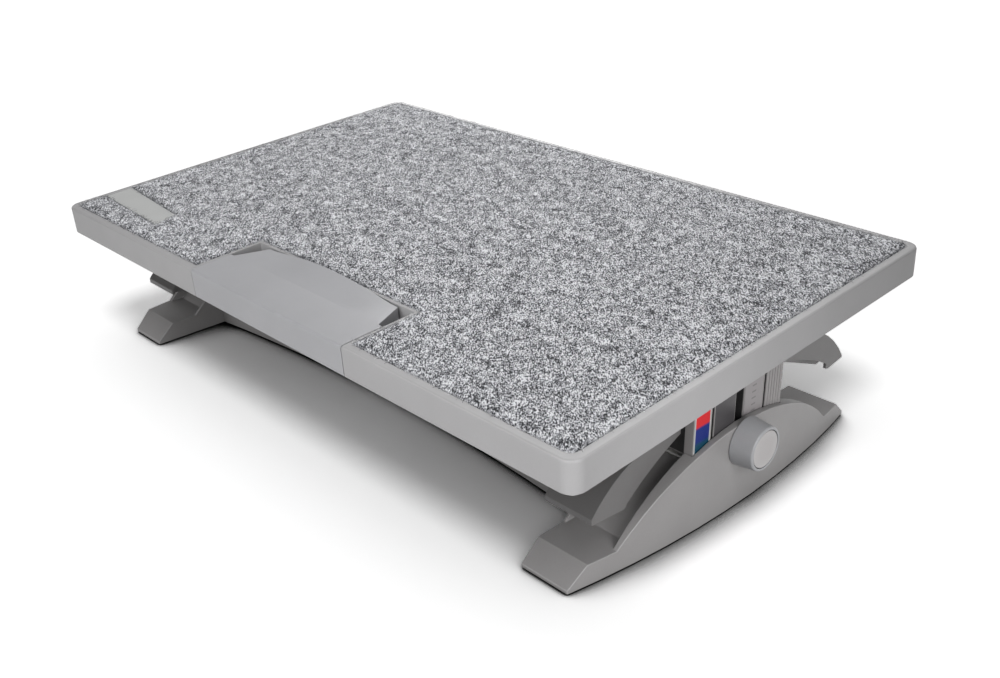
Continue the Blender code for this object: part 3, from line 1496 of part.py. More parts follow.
def lock_bracket(finish):
    """A bracket under the tray with two cheeks, between which the lock's lever turns."""
    top = FLANGE_TOP
    low_y = LEVER_PIVOT_Y - BRACKET_DEPTH / 2
    high_y = LEVER_PIVOT_Y + BRACKET_DEPTH / 2
    plate = box(
        "lock_bracket",
        (-BRACKET_HALF, low_y, top - BRACKET_PLATE),
        (BRACKET_HALF, high_y, top),
        platform_pivot,
    )
    cheek_in = LEVER_HALF + SEAT_GAP
    for label, side in SIDES:
        cheek = side_box(
            "lock_bracket_cheek_" + label,
            side,
            cheek_in,
            cheek_in + BRACKET_CHEEK,
            (LEVER_PIVOT_Y - BRACKET_CHEEK_DEPTH / 2, LEVER_PIVOT_Y + BRACKET_CHEEK_DEPTH / 2),
            (LEVER_PIVOT_Z - BRACKET_BELOW_PIVOT, top - BRACKET_PLATE + OVERLAP),
            platform_pivot,
        )
        join(plate, cheek)
    pin_hole = rod(
        "lock_bracket_pin_hole",
        LEVER_PIN_RADIUS + RUNNING_GAP,
        (0, LEVER_PIVOT_Y, LEVER_PIVOT_Z),
        2 * (cheek_in + BRACKET_CHEEK + OVERRUN),
        "X",
        parent=platform_pivot,
    )
    cut(plate, pin_hole)
    for label, side in SIDES:
        centre = (side * BRACKET_SCREW_OUT, LEVER_PIVOT_Y, top)
        bore = SCREW_RADIUS + SEAT_GAP
        reach = 2 * (BRACKET_PLATE + OVERRUN)
        name = "lock_bracket_hole_" + label
        cut(plate, rod(name, bore, centre, reach, "Z", parent=platform_pivot))
    return dress(plate, finish)


def bracket_screw(label, side, finish):
    head = (side * BRACKET_SCREW_OUT, LEVER_PIVOT_Y, FLANGE_TOP - BRACKET_PLATE - SEAT_GAP)
    return screw("bracket_screw_" + label, head, SCREW_LENGTH, finish, platform_pivot)


def lever_pin(finish):
    length = 2 * (LEVER_HALF + SEAT_GAP + BRACKET_CHEEK)
    place = (0, LEVER_PIVOT_Y, LEVER_PIVOT_Z)
    return dress(rod("lever_pin", LEVER_PIN_RADIUS, place, length, "X", parent=platform_pivot), finish)


def lock_lever(finish):
    """The lock's lever in its own frame: an arm under the pedal's finger, and one behind the shoe."""
    finger_front, finger_back = (y - LEVER_PIVOT_Y for y in finger_span())
    tip_top = UNDERSIDE - FINGER_BELOW - SEAT_GAP - LEVER_PIVOT_Z
    back_radius = LOCK_RIM_RADIUS + SEAT_GAP + SHOE_THICK + SEAT_GAP
    grip = arc((-LEVER_PIVOT_Y, -LEVER_PIVOT_Z), back_radius, SHOE_START, SHOE_END, 4)
    grip = grip[:-1]
    eye = arc((0, 0), LEVER_EYE_RADIUS, math.radians(-20), math.radians(-150), SMALL_ROUND // 2)
    top_y, top_z = grip[0]
    arm = [
        (finger_front - FINGER_DEPTH / 2, tip_top - LEVER_ARM),
        (finger_front - FINGER_DEPTH / 2, tip_top),
        (finger_back + FINGER_DEPTH / 2, tip_top),
        (0, LEVER_EYE_RADIUS + LEVER_ARM / 2),
        (top_y - LEVER_ARM, top_z),
    ]
    points = arm + grip + eye
    lever = outline_solid("lock_lever", points, -LEVER_HALF, LEVER_HALF, "X", lever_pivot)
    bore = LEVER_PIN_RADIUS + RUNNING_GAP
    reach = 2 * (LEVER_HALF + OVERRUN)
    cut(lever, rod("lock_lever_bore", bore, (0, 0, 0), reach, "X", parent=lever_pivot))
    return dress(lever, finish)


def lock_shoe(finish):
    """The friction shoe on the lever, curved to the rim of the lock."""
    centre = (-LEVER_PIVOT_Y, -LEVER_PIVOT_Z)
    inner = LOCK_RIM_RADIUS + SEAT_GAP
    face = arc(centre, inner, SHOE_START, SHOE_END, 6)
    back = arc(centre, inner + SHOE_THICK, SHOE_END, SHOE_START, 6)
    shoe = outline_solid("lock_shoe", face + back, -SHOE_HALF, SHOE_HALF, "X", lever_pivot)
    return dress(shoe, finish)


def coil_spring(name, place, height, finish):
    """A compression spring that stands at a place in the platform's frame."""
    curve = bpy.data.curves.new(name, "CURVE")
    curve.dimensions = "3D"
    curve.bevel_depth = SPRING_WIRE
    curve.bevel_resolution = 0
    curve.use_fill_caps = True
    count = SPRING_TURNS * SPRING_POINTS + 1
    spline = curve.splines.new("POLY")
    spline.points.add(count - 1)
    rise = height - 2 * SPRING_WIRE
    for i, point in enumerate(spline.points):
        angle = 2 * math.pi * i / SPRING_POINTS
        z = SPRING_WIRE + rise * i / (count - 1)
        point.co = (SPRING_RADIUS * math.cos(angle), SPRING_RADIUS * math.sin(angle), z, 1)
    obj = new_object(name, curve_mesh(name, curve), platform_pivot)
    obj.location = place
    return dress(obj, finish)


def pedal_spring(label, side, finish):
    """A spring between the floor of the pedal's notch and the underside of the pedal's flat top."""
    y = PEDAL_PIN_Y + PEDAL_SPRING_AHEAD + PEDAL_SKIRT - PEDAL_PIN_BACK
    bottom = FLOOR_TOP + SEAT_GAP
    top = TOP - PEDAL_ROOF - SEAT_GAP
    place = (side * PEDAL_SPRING_OUT, y, bottom)
    return coil_spring("pedal_spring_" + label, place, top - bottom, finish)


def build():
    """Makes every piece, body by body."""
    light_grey = material("leg_grey", (0.36, 0.355, 0.35), 0.42)
    tray_grey = material("tray_grey", (0.38, 0.38, 0.385), 0.40)
    pedal_grey = material("pedal_grey", (0.37, 0.375, 0.385), 0.40)
    knob_grey = material("knob_blue_grey", (0.24, 0.27, 0.29), 0.45)
    cap_grey = material("cap_grey", (0.42, 0.42, 0.42), 0.42)
    liner = material("liner_white", (0.62, 0.62, 0.60), 0.5)
    carpet_grey = material("carpet_grey", (0.30, 0.31, 0.33), 1.0)
    rubber = material("rubber_black", (0.02, 0.02, 0.02), 0.8)
    zinc = material("zinc_steel", (0.62, 0.62, 0.62), 0.35, 1.0)
    friction = material("friction_brown", (0.10, 0.06, 0.04), 0.9)
    print_colours = material("height_label", (0.20, 0.15, 0.45), 0.35)
    scale_print = material("scale_plate", (0.50, 0.49, 0.47), 0.4)

    for label, side in SIDES:
        leg(label, side, light_grey)
        column_guide(label, side, liner)
        clamp_nut(label, side, zinc)
        for end_label, end in ENDS:
            rubber_pad(label, side, end_label, end, rubber)
            tie_screw(label, side, end_label, end, zinc)
    cross_plate(light_grey)

    for label, side in SIDES:
        column(label, side, light_grey)
        face_label("height_label_" + label, side, 0, print_colours)
        face_label("scale_plate_" + label, side, 2, scale_print)
        axle_clip(label, side, zinc)
    axle(zinc)
    lock_rim(zinc)

    for label, side in SIDES:
        knob(label, side, knob_grey)
        knob_cap(label, side, cap_grey)
        clamp_screw(label, side, zinc)
        clamp_washer(label, side, zinc)

    tray(tray_grey)
    carpet(carpet_grey)
    tag_plate(tray_grey)
    for label, side in SIDES:
        cradle(label, side, light_grey)
        bush(label, side, "inner", CRADLE_INNER_EAR, liner)
        bush(label, side, "outer", EAR_OUTSIDE - CRADLE_WALL, liner)
        pedal_pin(label, side, zinc)
        pedal_spring(label, side, zinc)
        bracket_screw(label, side, zinc)
        for end_label, end in ENDS:
            cradle_screw(label, side, end_label, end, zinc)
    lock_bracket(zinc)
    lever_pin(zinc)
    pedal(pedal_grey)
    lock_lever(zinc)
    lock_shoe(friction)


clear_scene()
parts = collection("ergonomic_footrest")
cutters = collection("cutters")
cutters.hide_render = True
platform_pivot = pivot("platform_pivot", (0, 0, AXLE_HEIGHT), REST_TILT)
pedal_pivot = pivot("pedal_pivot", (0, PEDAL_PIN_Y, PEDAL_PIN_Z), 0.0, platform_pivot)
lever_pivot = pivot("lever_pivot", (0, LEVER_PIVOT_Y, LEVER_PIVOT_Z), 0.0, platform_pivot)
build()
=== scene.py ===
"""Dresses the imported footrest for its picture.

Every rigid piece is recast from its solid, with broken edges and a moulded finish. The carpet is a
felt with its own relief and loose fibres, and springs and screws are grown by trees of nodes. Sizes
are in metres.
"""

from __future__ import annotations

import json
import logging
import math
from collections.abc import Mapping, Sequence
from dataclasses import dataclass, field
from enum import Enum

import bmesh
import bpy
import numpy as np
from mathutils import Matrix, Vector
from mathutils.geometry import intersect_point_line

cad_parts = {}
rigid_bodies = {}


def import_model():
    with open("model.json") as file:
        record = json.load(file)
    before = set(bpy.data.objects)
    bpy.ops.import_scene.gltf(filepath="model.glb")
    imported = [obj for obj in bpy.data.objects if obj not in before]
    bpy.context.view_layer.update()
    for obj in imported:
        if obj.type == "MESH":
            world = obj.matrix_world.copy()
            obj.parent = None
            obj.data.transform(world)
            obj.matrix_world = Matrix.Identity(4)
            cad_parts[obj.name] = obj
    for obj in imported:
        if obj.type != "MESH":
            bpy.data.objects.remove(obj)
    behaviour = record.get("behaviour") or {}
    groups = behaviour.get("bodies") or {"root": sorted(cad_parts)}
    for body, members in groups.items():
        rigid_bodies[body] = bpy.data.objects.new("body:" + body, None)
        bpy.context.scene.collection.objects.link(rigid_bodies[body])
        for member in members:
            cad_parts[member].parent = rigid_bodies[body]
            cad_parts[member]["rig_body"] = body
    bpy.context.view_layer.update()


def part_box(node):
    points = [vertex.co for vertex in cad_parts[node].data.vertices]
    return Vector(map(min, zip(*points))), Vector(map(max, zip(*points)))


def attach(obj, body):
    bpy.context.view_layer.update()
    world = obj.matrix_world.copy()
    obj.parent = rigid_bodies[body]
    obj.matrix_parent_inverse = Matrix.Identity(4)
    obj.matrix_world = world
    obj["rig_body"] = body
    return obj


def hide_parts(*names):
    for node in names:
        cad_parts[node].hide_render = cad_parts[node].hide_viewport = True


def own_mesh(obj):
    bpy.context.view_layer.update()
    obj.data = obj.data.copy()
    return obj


Colour = tuple[float, float, float]
Point = tuple[float, float, float]

log = logging.getLogger("footrest")

AXLE_HEIGHT = 0.0911
REST_TILT = math.radians(3.17)
KNOB_FOOT = 0.2657
KNOB_HEIGHT = 0.048
WELD = 2e-6
ENDS = ("front", "back")


def from_display(red: float, green: float, blue: float) -> Colour:
    """Turns a colour as seen on a display, 0 to 255, into the light it stands for.

    Args:
        red: Red, 0 to 255.
        green: Green, 0 to 255.
        blue: Blue, 0 to 255.

    Returns:
        The three linear shares, 0 to 1.
    """
    shares = []
    for level in (red, green, blue):
        share = level / 255
        shares.append(share / 12.92 if share <= 0.04045 else ((share + 0.055) / 1.055) ** 2.4)
    return tuple(shares)


def scaled(colour: Colour, factor: float) -> Colour:
    """Returns a colour made lighter or darker by a factor."""
    return tuple(min(1.0, share * factor) for share in colour)


class Side(Enum):
    """The two ends of the footrest, by the sign of X."""

    RIGHT = 1
    LEFT = -1

    @property
    def label(self) -> str:
        """The word that the node names end with."""
        return self.name.lower()


class Body(Enum):
    """The bodies that the pieces ride on."""

    BASE = "base"
    LIFT = "lift"
    PLATFORM = "platform"
    PEDAL = "pedal"
    LEVER = "lever"
    KNOB_RIGHT = "knob_right"
    KNOB_LEFT = "knob_left"


class Flow:
    """A number that varies, carried by an output socket, with arithmetic that adds Math nodes."""

    def __init__(self, tree: Tree, socket: bpy.types.NodeSocket) -> None:
        """Wraps an output socket of a tree."""
        self.tree = tree
        self.socket = socket

    def math(self, operation: str, *values: Flow | float, clamp: bool = False) -> Flow:
        """Adds a Math node on the values, and holds its result between 0 and 1 where asked."""
        settings = {"operation": operation, "use_clamp": clamp}
        return self.tree.read("ShaderNodeMath", 0, settings, dict(enumerate(values)))

    def __add__(self, other: Flow | float) -> Flow:
        """Adds."""
        return self.math("ADD", self, other)

    __radd__ = __add__

    def __sub__(self, other: Flow | float) -> Flow:
        """Subtracts."""
        return self.math("SUBTRACT", self, other)

    def __rsub__(self, other: float) -> Flow:
        """Subtracts this from a number."""
        return self.math("SUBTRACT", other, self)

    def __mul__(self, other: Flow | float) -> Flow:
        """Multiplies."""
        return self.math("MULTIPLY", self, other)

    __rmul__ = __mul__

    def __truediv__(self, other: Flow | float) -> Flow:
        """Divides."""
        return self.math("DIVIDE", self, other)

    def __pow__(self, other: Flow | float) -> Flow:
        """Raises to a power."""
        return self.math("POWER", self, other)

    def clipped(self) -> Flow:
        """Holds the number between 0 and 1."""
        return self.math("ADD", self, 0.0, clamp=True)

    def highest(self, other: Flow | float) -> Flow:
        """Returns the larger of the two."""
        return self.math("MAXIMUM", self, other)

    def lowest(self, other: Flow | float) -> Flow:
        """Returns the smaller of the two."""
        return self.math("MINIMUM", self, other)

    def absolute(self) -> Flow:
        """Drops the sign."""
        return self.math("ABSOLUTE", self)

    def fraction(self) -> Flow:
        """Keeps what is past the whole number."""
        return self.math("FRACT", self)

    def exponential(self) -> Flow:
        """Raises e to this."""
        return self.math("EXPONENT", self)

    def above(self, limit: float) -> Flow:
        """Is 1 where the number is over a limit, and 0 elsewhere."""
        return self.math("GREATER_THAN", self, limit)

    def step(self, edge: float, soft: float) -> Flow:
        """Rises smoothly from 0 to 1 about an edge.

        Args:
            edge: Where the rise is half done.
            soft: How wide the rise is.

        Returns:
            The risen share.
        """
        return self.tree.read(
            "ShaderNodeMapRange",
            "Result",
            {"interpolation_type": "SMOOTHSTEP"},
            {"Value": self, "From Min": edge - soft / 2, "From Max": edge + soft / 2},
        )


class Tree:
    """A node tree, written node by node."""

    def __init__(self, tree: bpy.types.NodeTree) -> None:
        """Takes a tree and empties it."""
        self.tree = tree
        tree.nodes.clear()

    def node(
        self,
        kind: str,
        settings: Mapping[str, object] | None = None,
        inputs: Mapping[str | int, object] | None = None,
    ) -> bpy.types.Node:
        """Adds one node.

        Args:
            kind: The node's type.
            settings: Its own settings, set first; "stops" are a ramp's places and colours.
            inputs: Values or links for its sockets, by name or number.

        Returns:
            The node.
        """
        made = self.tree.nodes.new(kind)
        for key, value in (settings or {}).items():
            if key == "stops":
                self._stops(made.color_ramp, value)
            else:
                setattr(made, key, value)
        for key, value in (inputs or {}).items():
            self.feed(made.inputs[key], value)
        return made

    def read(
        self,
        kind: str,
        output: str | int,
        settings: Mapping[str, object] | None = None,
        inputs: Mapping[str | int, object] | None = None,
    ) -> Flow:
        """Adds one node and reads a number from one of its outputs, by name or number."""
        return Flow(self, self.node(kind, settings, inputs).outputs[output])

    @staticmethod
    def _stops(ramp: bpy.types.ColorRamp, stops: Sequence[tuple[float, Colour]]) -> None:
        """Gives a ramp its stops.

        Args:
            ramp: The ramp.
            stops: Places and colours in order.
        """
        while len(ramp.elements) < len(stops):
            ramp.elements.new(0.5)
        for element, (place, colour) in zip(ramp.elements, stops):
            element.position = place
            element.color = (*colour, 1.0)

    def feed(self, socket: bpy.types.NodeSocket, value: object) -> None:
        """Links a socket or sets its value.

        Args:
            socket: The input socket.
            value: A flow, a socket, or a plain value.
        """
        if isinstance(value, Flow):
            self.tree.links.new(value.socket, socket)
        elif isinstance(value, bpy.types.NodeSocket):
            self.tree.links.new(value, socket)
        else:
            socket.default_value = value


class Recipe(Tree):
    """A material under construction."""

    def __init__(self, name: str) -> None:
        """Starts a material.

        Args:
            name: The material's name.
        """
        self.made = bpy.data.materials.new(name)
        self.made.use_nodes = True
        super().__init__(self.made.node_tree)
        self.place = self.node("ShaderNodeTexCoord").outputs["Object"]

    def drawn_out(self, ratio: float, turn: float = 0.0) -> bpy.types.NodeSocket:
        """Coordinates in which a pattern comes out long in one direction.

        Args:
            ratio: How many times longer than wide it becomes.
            turn: The direction's angle about Z, from X.

        Returns:
            The coordinates.
        """
        return self.node(
            "ShaderNodeMapping",
            {"vector_type": "TEXTURE"},
            {"Vector": self.place, "Scale": (ratio, 1.0, 1.0), "Rotation": (0.0, 0.0, turn)},
        ).outputs["Vector"]

    def axes(self) -> tuple[Flow, Flow, Flow]:
        """The piece's own X, Y and Z."""
        parts = self.node("ShaderNodeSeparateXYZ", {}, {"Vector": self.place})
        return tuple(Flow(self, parts.outputs[axis]) for axis in "XYZ")

    def cloud(
        self, size: float, detail: float = 2.0, rough: float = 0.5, place: object = None
    ) -> Flow:
        """A smooth noise, 0 to 1 about a half.

        Args:
            size: The size of its lumps in metres.
            detail: How many finer octaves it has.
            rough: How strong they are.
            place: Other coordinates than the piece's own.

        Returns:
            The noise.
        """
        inputs = {
            "Vector": place or self.place,
            "Scale": 1 / size,
            "Detail": detail,
            "Roughness": rough,
        }
        return self.read("ShaderNodeTexNoise", 0, {}, inputs)

    def cells(self, size: float) -> Flow:
        """The distance to the nearest of many scattered points, in cells of a size in metres."""
        inputs = {"Vector": self.place, "Scale": 1 / size}
        return self.read("ShaderNodeTexVoronoi", "Distance", {}, inputs)

    def attribute(self, name: str) -> Flow:
        """Reads a number that is stored on the mesh."""
        return self.read("ShaderNodeAttribute", "Fac", {"attribute_name": name})

    def blend(self, share: Flow | float, first: object, second: object) -> bpy.types.NodeSocket:
        """Mixes two colours.

        Args:
            share: How much of the second.
            first: A colour or a socket.
            second: A colour or a socket.

        Returns:
            The mixed colour.
        """
        pair = [(*c, 1.0) if isinstance(c, tuple) else c for c in (first, second)]
        inputs = {0: share, 6: pair[0], 7: pair[1]}
        return self.node("ShaderNodeMix", {"data_type": "RGBA"}, inputs).outputs[2]

    def bump(self, height: Flow, depth: float, under: object = None) -> bpy.types.NodeSocket:
        """Turns a height into a normal.

        Args:
            height: The height, 0 to 1.
            depth: How deep 1 is, in metres.
            under: A normal that this one adds to.

        Returns:
            The normal.
        """
        inputs = {"Height": height, "Strength": 1.0, "Distance": depth}
        if under is not None:
            inputs["Normal"] = under
        return self.node("ShaderNodeBump", {}, inputs).outputs["Normal"]

    def finish(self, inputs: Mapping[str, object]) -> bpy.types.Material:
        """Ends the material in a Principled shader.

        Args:
            inputs: Its sockets' values and links.

        Returns:
            The material.
        """
        shader = self.node("ShaderNodeBsdfPrincipled", {}, inputs)
        self.node("ShaderNodeOutputMaterial", {}, {"Surface": shader.outputs["BSDF"]})
        return self.made


@dataclass(frozen=True)
class Finish:
    """What every finish has: the name of its material and the slot that it fills."""

    name: str
    slot: str

    def material(self) -> bpy.types.Material:
        """Builds the material, which each finish does in its own way."""
        raise NotImplementedError


@dataclass(frozen=True)
class MouldedPlastic(Finish):
    """A satin moulded plastic with spark-eroded grain, faint flow clouds and edges lightened as
    wear and painted highlight.
    """

    colour: Colour
    roughness: float = 0.42
    drift: float = 0.045
    grain: float = 0.000035
    grain_size: float = 0.00045
    rubbed: float = 0.08
    rubbed_tone: Colour = (0.80, 0.80, 0.80)
    flow_size: float = 0.045
    speck_size: float = 0.0011
    scuff_size: float = 0.006
    sink_size: float = 0.028
    sink_depth: float = 0.00012

    def paint(self, recipe: Recipe, base: bpy.types.NodeSocket) -> bpy.types.NodeSocket:
        """Leaves the plastic's colour as it is."""
        return base

    def material(self) -> bpy.types.Material:
        """Builds the material.

        Returns:
            The material.
        """
        recipe = Recipe(self.name)
        cloud = recipe.cloud(self.flow_size, 3.0, 0.55)
        speck = recipe.cloud(self.speck_size, 2.0, 0.6)
        tone = (cloud * 0.7 + speck * 0.3).clipped().step(0.5, 0.5)
        darker, lighter = (scaled(self.colour, 1 + way * self.drift) for way in (-1, 1))
        base = recipe.blend(tone, darker, lighter)
        scuff = recipe.cloud(self.scuff_size, 4.0, 0.7)
        # Painted highlight and wear: the roundings are lightened towards a pale tone, partly as
        # rubbed wear and partly as a painted highlight.
        edge = (recipe.attribute("edge") * (scuff * 0.8 + 0.5)).clipped()
        worn = self.paint(recipe, recipe.blend(edge * self.rubbed, base, self.rubbed_tone))
        grain = recipe.cells(self.grain_size)
        wave = recipe.bump(recipe.cloud(self.sink_size, 1.0, 0.4), self.sink_depth)
        pits = grain * 0.7 + recipe.cloud(self.grain_size * 1.7) * 0.3
        normal = recipe.bump(pits, self.grain, wave)
        rough = self.roughness + 0.10 * (scuff - 0.5) + 0.06 * (speck - 0.5) - 0.08 * edge
        return recipe.finish(
            {
                "Base Color": worn,
                "Roughness": rough.clipped(),
                "Normal": normal,
                "IOR": 1.5,
                "Specular IOR Level": 0.42,
            }
        )


@dataclass(frozen=True)
class Heather(Finish):
    """A finish of mixed fibres: dark, mid and pale."""

    dark: Colour
    middle: Colour
    pale: Colour


@dataclass(frozen=True)
class NeedledFelt(Heather):
    """A heather felt, its fibres laid in every direction and needled into a mat.

    The directions are in degrees about Z. The finer clouds are drawn out along the lay of the web.
    """

    fibre_length: float = 0.0040
    fibre_width: float = 0.0009
    fibre_depth: float = 0.0004
    turns: tuple[float, ...] = (8.0, 47.0, 95.0, 139.0)
    lay: float = 136.4
    drawn: float = 2.0
    fine_size: float = 0.00090
    tuft_size: float = 0.0030
    tuft_depth: float = 0.0007
    patch_size: float = 0.0085

    def _streaks(self, recipe: Recipe, turn: float) -> Flow:
        """Noise drawn out into fibres that lie one way."""
        place = recipe.drawn_out(self.fibre_length / self.fibre_width, math.radians(turn))
        return recipe.cloud(self.fibre_width, 1.0, 0.5, place)

    def material(self) -> bpy.types.Material:
        """Builds the material.

        Returns:
            The material.
        """
        recipe = Recipe(self.name)
        streaks = [self._streaks(recipe, turn) for turn in self.turns]
        crossed = streaks[0].highest(streaks[1]) + streaks[2].lowest(streaks[3])
        web = recipe.drawn_out(self.drawn, math.radians(self.lay))
        fine = recipe.cloud(self.fine_size, 0.0, 0.5, web)
        tuft = recipe.cloud(self.tuft_size, 1.0, 0.5, web)
        patch = recipe.cloud(self.patch_size, 2.0, 0.5)
        tone = (
            (crossed * 0.5 - 0.5) * 0.9
            + (fine - 0.5) * 2.1
            + (tuft - 0.5) * 0.8
            + (patch - 0.5) * 1.0
        )
        level = (tone + 0.5).clipped()
        stops = (
            (0.05, self.dark),
            (0.34, scaled(self.middle, 0.60)),
            (0.55, self.middle),
            (0.95, self.pale),
        )
        ramp = recipe.node("ShaderNodeValToRGB", {"stops": stops}, {"Fac": level})
        # Painted shade: the felt's cut edge darkens towards its underside, where it sits in the
        # tray.
        sunk = recipe.attribute("sunk") * 0.6
        shaded = recipe.blend(sunk, ramp.outputs["Color"], scaled(self.dark, 0.7))
        mat = recipe.bump(tuft * 0.6 + fine * 0.4, self.tuft_depth)
        normal = recipe.bump(crossed * 0.5, self.fibre_depth, mat)
        return recipe.finish(
            {
                "Base Color": shaded,
                "Roughness": (0.96 - 0.06 * fine).clipped(),
                "Normal": normal,
                "Specular IOR Level": 0.12,
                "Sheen Weight": 0.12,
                "Sheen Roughness": 0.6,
            }
        )


@dataclass(frozen=True)
class LooseFibre(Heather):
    """The fibres that stand out of the felt: each has its own shade."""

    def material(self) -> bpy.types.Material:
        """Builds the material.

        Returns:
            The material.
        """
        recipe = Recipe(self.name)
        shade = recipe.attribute("fibre_shade")
        stops = ((0.12, self.dark), (0.5, self.middle), (0.85, self.pale))
        ramp = recipe.node("ShaderNodeValToRGB", {"stops": stops}, {"Fac": shade})
        return recipe.finish(
            {
                "Base Color": ramp.outputs["Color"],
                "Roughness": (0.75 + 0.2 * shade).clipped(),
                "Specular IOR Level": 0.2,
            }
        )


@dataclass(frozen=True)
class ZincSteel(Finish):
    """Zinc-plated steel: a fine drawn line, a faint spangle and dull patches."""

    colour: Colour = (0.60, 0.61, 0.62)
    roughness: float = 0.34
    line_width: float = 0.0004
    line_ratio: float = 25.0
    line_depth: float = 0.00001
    spangle_size: float = 0.003
    dull_size: float = 0.008

    def material(self) -> bpy.types.Material:
        """Builds the material.

        Returns:
            The material.
        """
        recipe = Recipe(self.name)
        drawn = recipe.cloud(self.line_width, 2.0, 0.6, recipe.drawn_out(self.line_ratio))
        spangle = recipe.cells(self.spangle_size)
        dull = recipe.cloud(self.dull_size, 3.0, 0.6)
        share = (spangle * 0.5 + dull * 0.5).clipped()
        base = recipe.blend(share, scaled(self.colour, 0.82), scaled(self.colour, 1.12))
        return recipe.finish(
            {
                "Base Color": base,
                "Metallic": 1.0,
                "Roughness": (self.roughness + 0.2 * (dull - 0.5) + 0.1 * (drawn - 0.5)).clipped(),
                "Normal": recipe.bump(drawn, self.line_depth),
            }
        )


@dataclass(frozen=True)
class Rubber(Finish):
    """A soft black rubber with a fine pebbled skin and some dust."""

    colour: Colour = (0.022, 0.022, 0.023)
    dust: Colour = (0.10, 0.10, 0.095)
    dust_size: float = 0.004
    pebble_size: float = 0.0006
    pebble_depth: float = 0.00006

    def material(self) -> bpy.types.Material:
        """Builds the material.

        Returns:
            The material.
        """
        recipe = Recipe(self.name)
        pebble = recipe.cells(self.pebble_size)
        dusty = recipe.cloud(self.dust_size, 4.0, 0.65)
        return recipe.finish(
            {
                "Base Color": recipe.blend(dusty.step(0.6, 0.3) * 0.5, self.colour, self.dust),
                "Roughness": (0.75 + 0.15 * dusty).clipped(),
                "Normal": recipe.bump(pebble, self.pebble_depth),
                "Specular IOR Level": 0.12,
            }
        )


@dataclass(frozen=True)
class Friction(Finish):
    """A pressed friction lining: brown, gritty, with bright flecks of wire."""

    colour: Colour = (0.10, 0.062, 0.040)
    wire: Colour = (0.45, 0.36, 0.22)
    grit_size: float = 0.0006
    grit_depth: float = 0.00015
    fleck_size: float = 0.0012

    def material(self) -> bpy.types.Material:
        """Builds the material.

        Returns:
            The material.
        """
        recipe = Recipe(self.name)
        grit = recipe.cloud(self.grit_size, 4.0, 0.75)
        fleck = recipe.cells(self.fleck_size).step(0.16, 0.08)
        base = recipe.blend(grit, scaled(self.colour, 0.6), scaled(self.colour, 1.5))
        return recipe.finish(
            {
                "Base Color": recipe.blend(1 - fleck, base, self.wire),
                "Roughness": (0.8 + 0.15 * grit).clipped(),
                "Normal": recipe.bump(grit, self.grit_depth),
            }
        )


@dataclass(frozen=True)
class HeightBands(Finish):
    """The printed strip on the column: bands of colour that tell one height from the next."""

    low: float
    high: float
    middle: float
    half_width: float
    red: Colour = from_display(220, 40, 46)
    blue: Colour = from_display(6, 34, 118)
    teal: Colour = from_display(6, 66, 88)
    paper: Colour = from_display(196, 197, 196)
    blue_from: float = 0.30
    red_from: float = 0.56
    lines: float = 42.0
    wear_size: float = 0.002
    wear_depth: float = 0.00001

    def material(self) -> bpy.types.Material:
        """Builds the material.

        Returns:
            The material.
        """
        recipe = Recipe(self.name)
        _, across, height = recipe.axes()
        up = (height - self.low) / (self.high - self.low)
        line = ((up * self.lines).fraction() - 0.5).absolute()
        lower = recipe.blend(up.step(self.blue_from, 0.10), self.teal, self.blue)
        ink = recipe.blend(up.step(self.red_from, 0.05), lower, self.red)
        faint = recipe.blend(line.step(0.42, 0.1) * 0.06, ink, scaled(self.paper, 0.8))
        margin = (across - self.middle).absolute().step(self.half_width, 0.0003)
        worn = recipe.cloud(self.wear_size, 3.0, 0.6)
        base = recipe.blend(margin, faint, self.paper)
        return recipe.finish(
            {
                "Base Color": recipe.blend((worn - 0.6).clipped() * 0.1, base, self.paper),
                "Roughness": (0.45 + 0.12 * worn).clipped(),
                "Normal": recipe.bump(worn, self.wear_depth),
                "Specular IOR Level": 0.3,
            }
        )


@dataclass(frozen=True)
class ScalePlate(Finish):
    """The bare pale plate beside the slot, with a short row of plain ticks."""

    middle: float
    colour: Colour = from_display(148, 144, 145)
    ticks_per_metre: float = 220.0
    tick_half: float = 0.0022
    wear_size: float = 0.0015
    wear_depth: float = 0.00002

    def material(self) -> bpy.types.Material:
        """Builds the material.

        Returns:
            The material.
        """
        recipe = Recipe(self.name)
        _, across, up = recipe.axes()
        centre = (across - self.middle).absolute()
        row = up * self.ticks_per_metre
        tick = 1 - (row.fraction() - 0.5).absolute().step(0.12, 0.05)
        mark = tick * (1 - centre.step(self.tick_half, 0.0003))
        worn = recipe.cloud(self.wear_size, 3.0, 0.6)
        base = recipe.blend(worn, scaled(self.colour, 0.94), scaled(self.colour, 1.05))
        return recipe.finish(
            {
                "Base Color": recipe.blend(mark * 0.5, base, scaled(self.colour, 0.25)),
                "Roughness": (0.38 + 0.1 * worn).clipped(),
                "Normal": recipe.bump(worn, self.wear_depth),
            }
        )


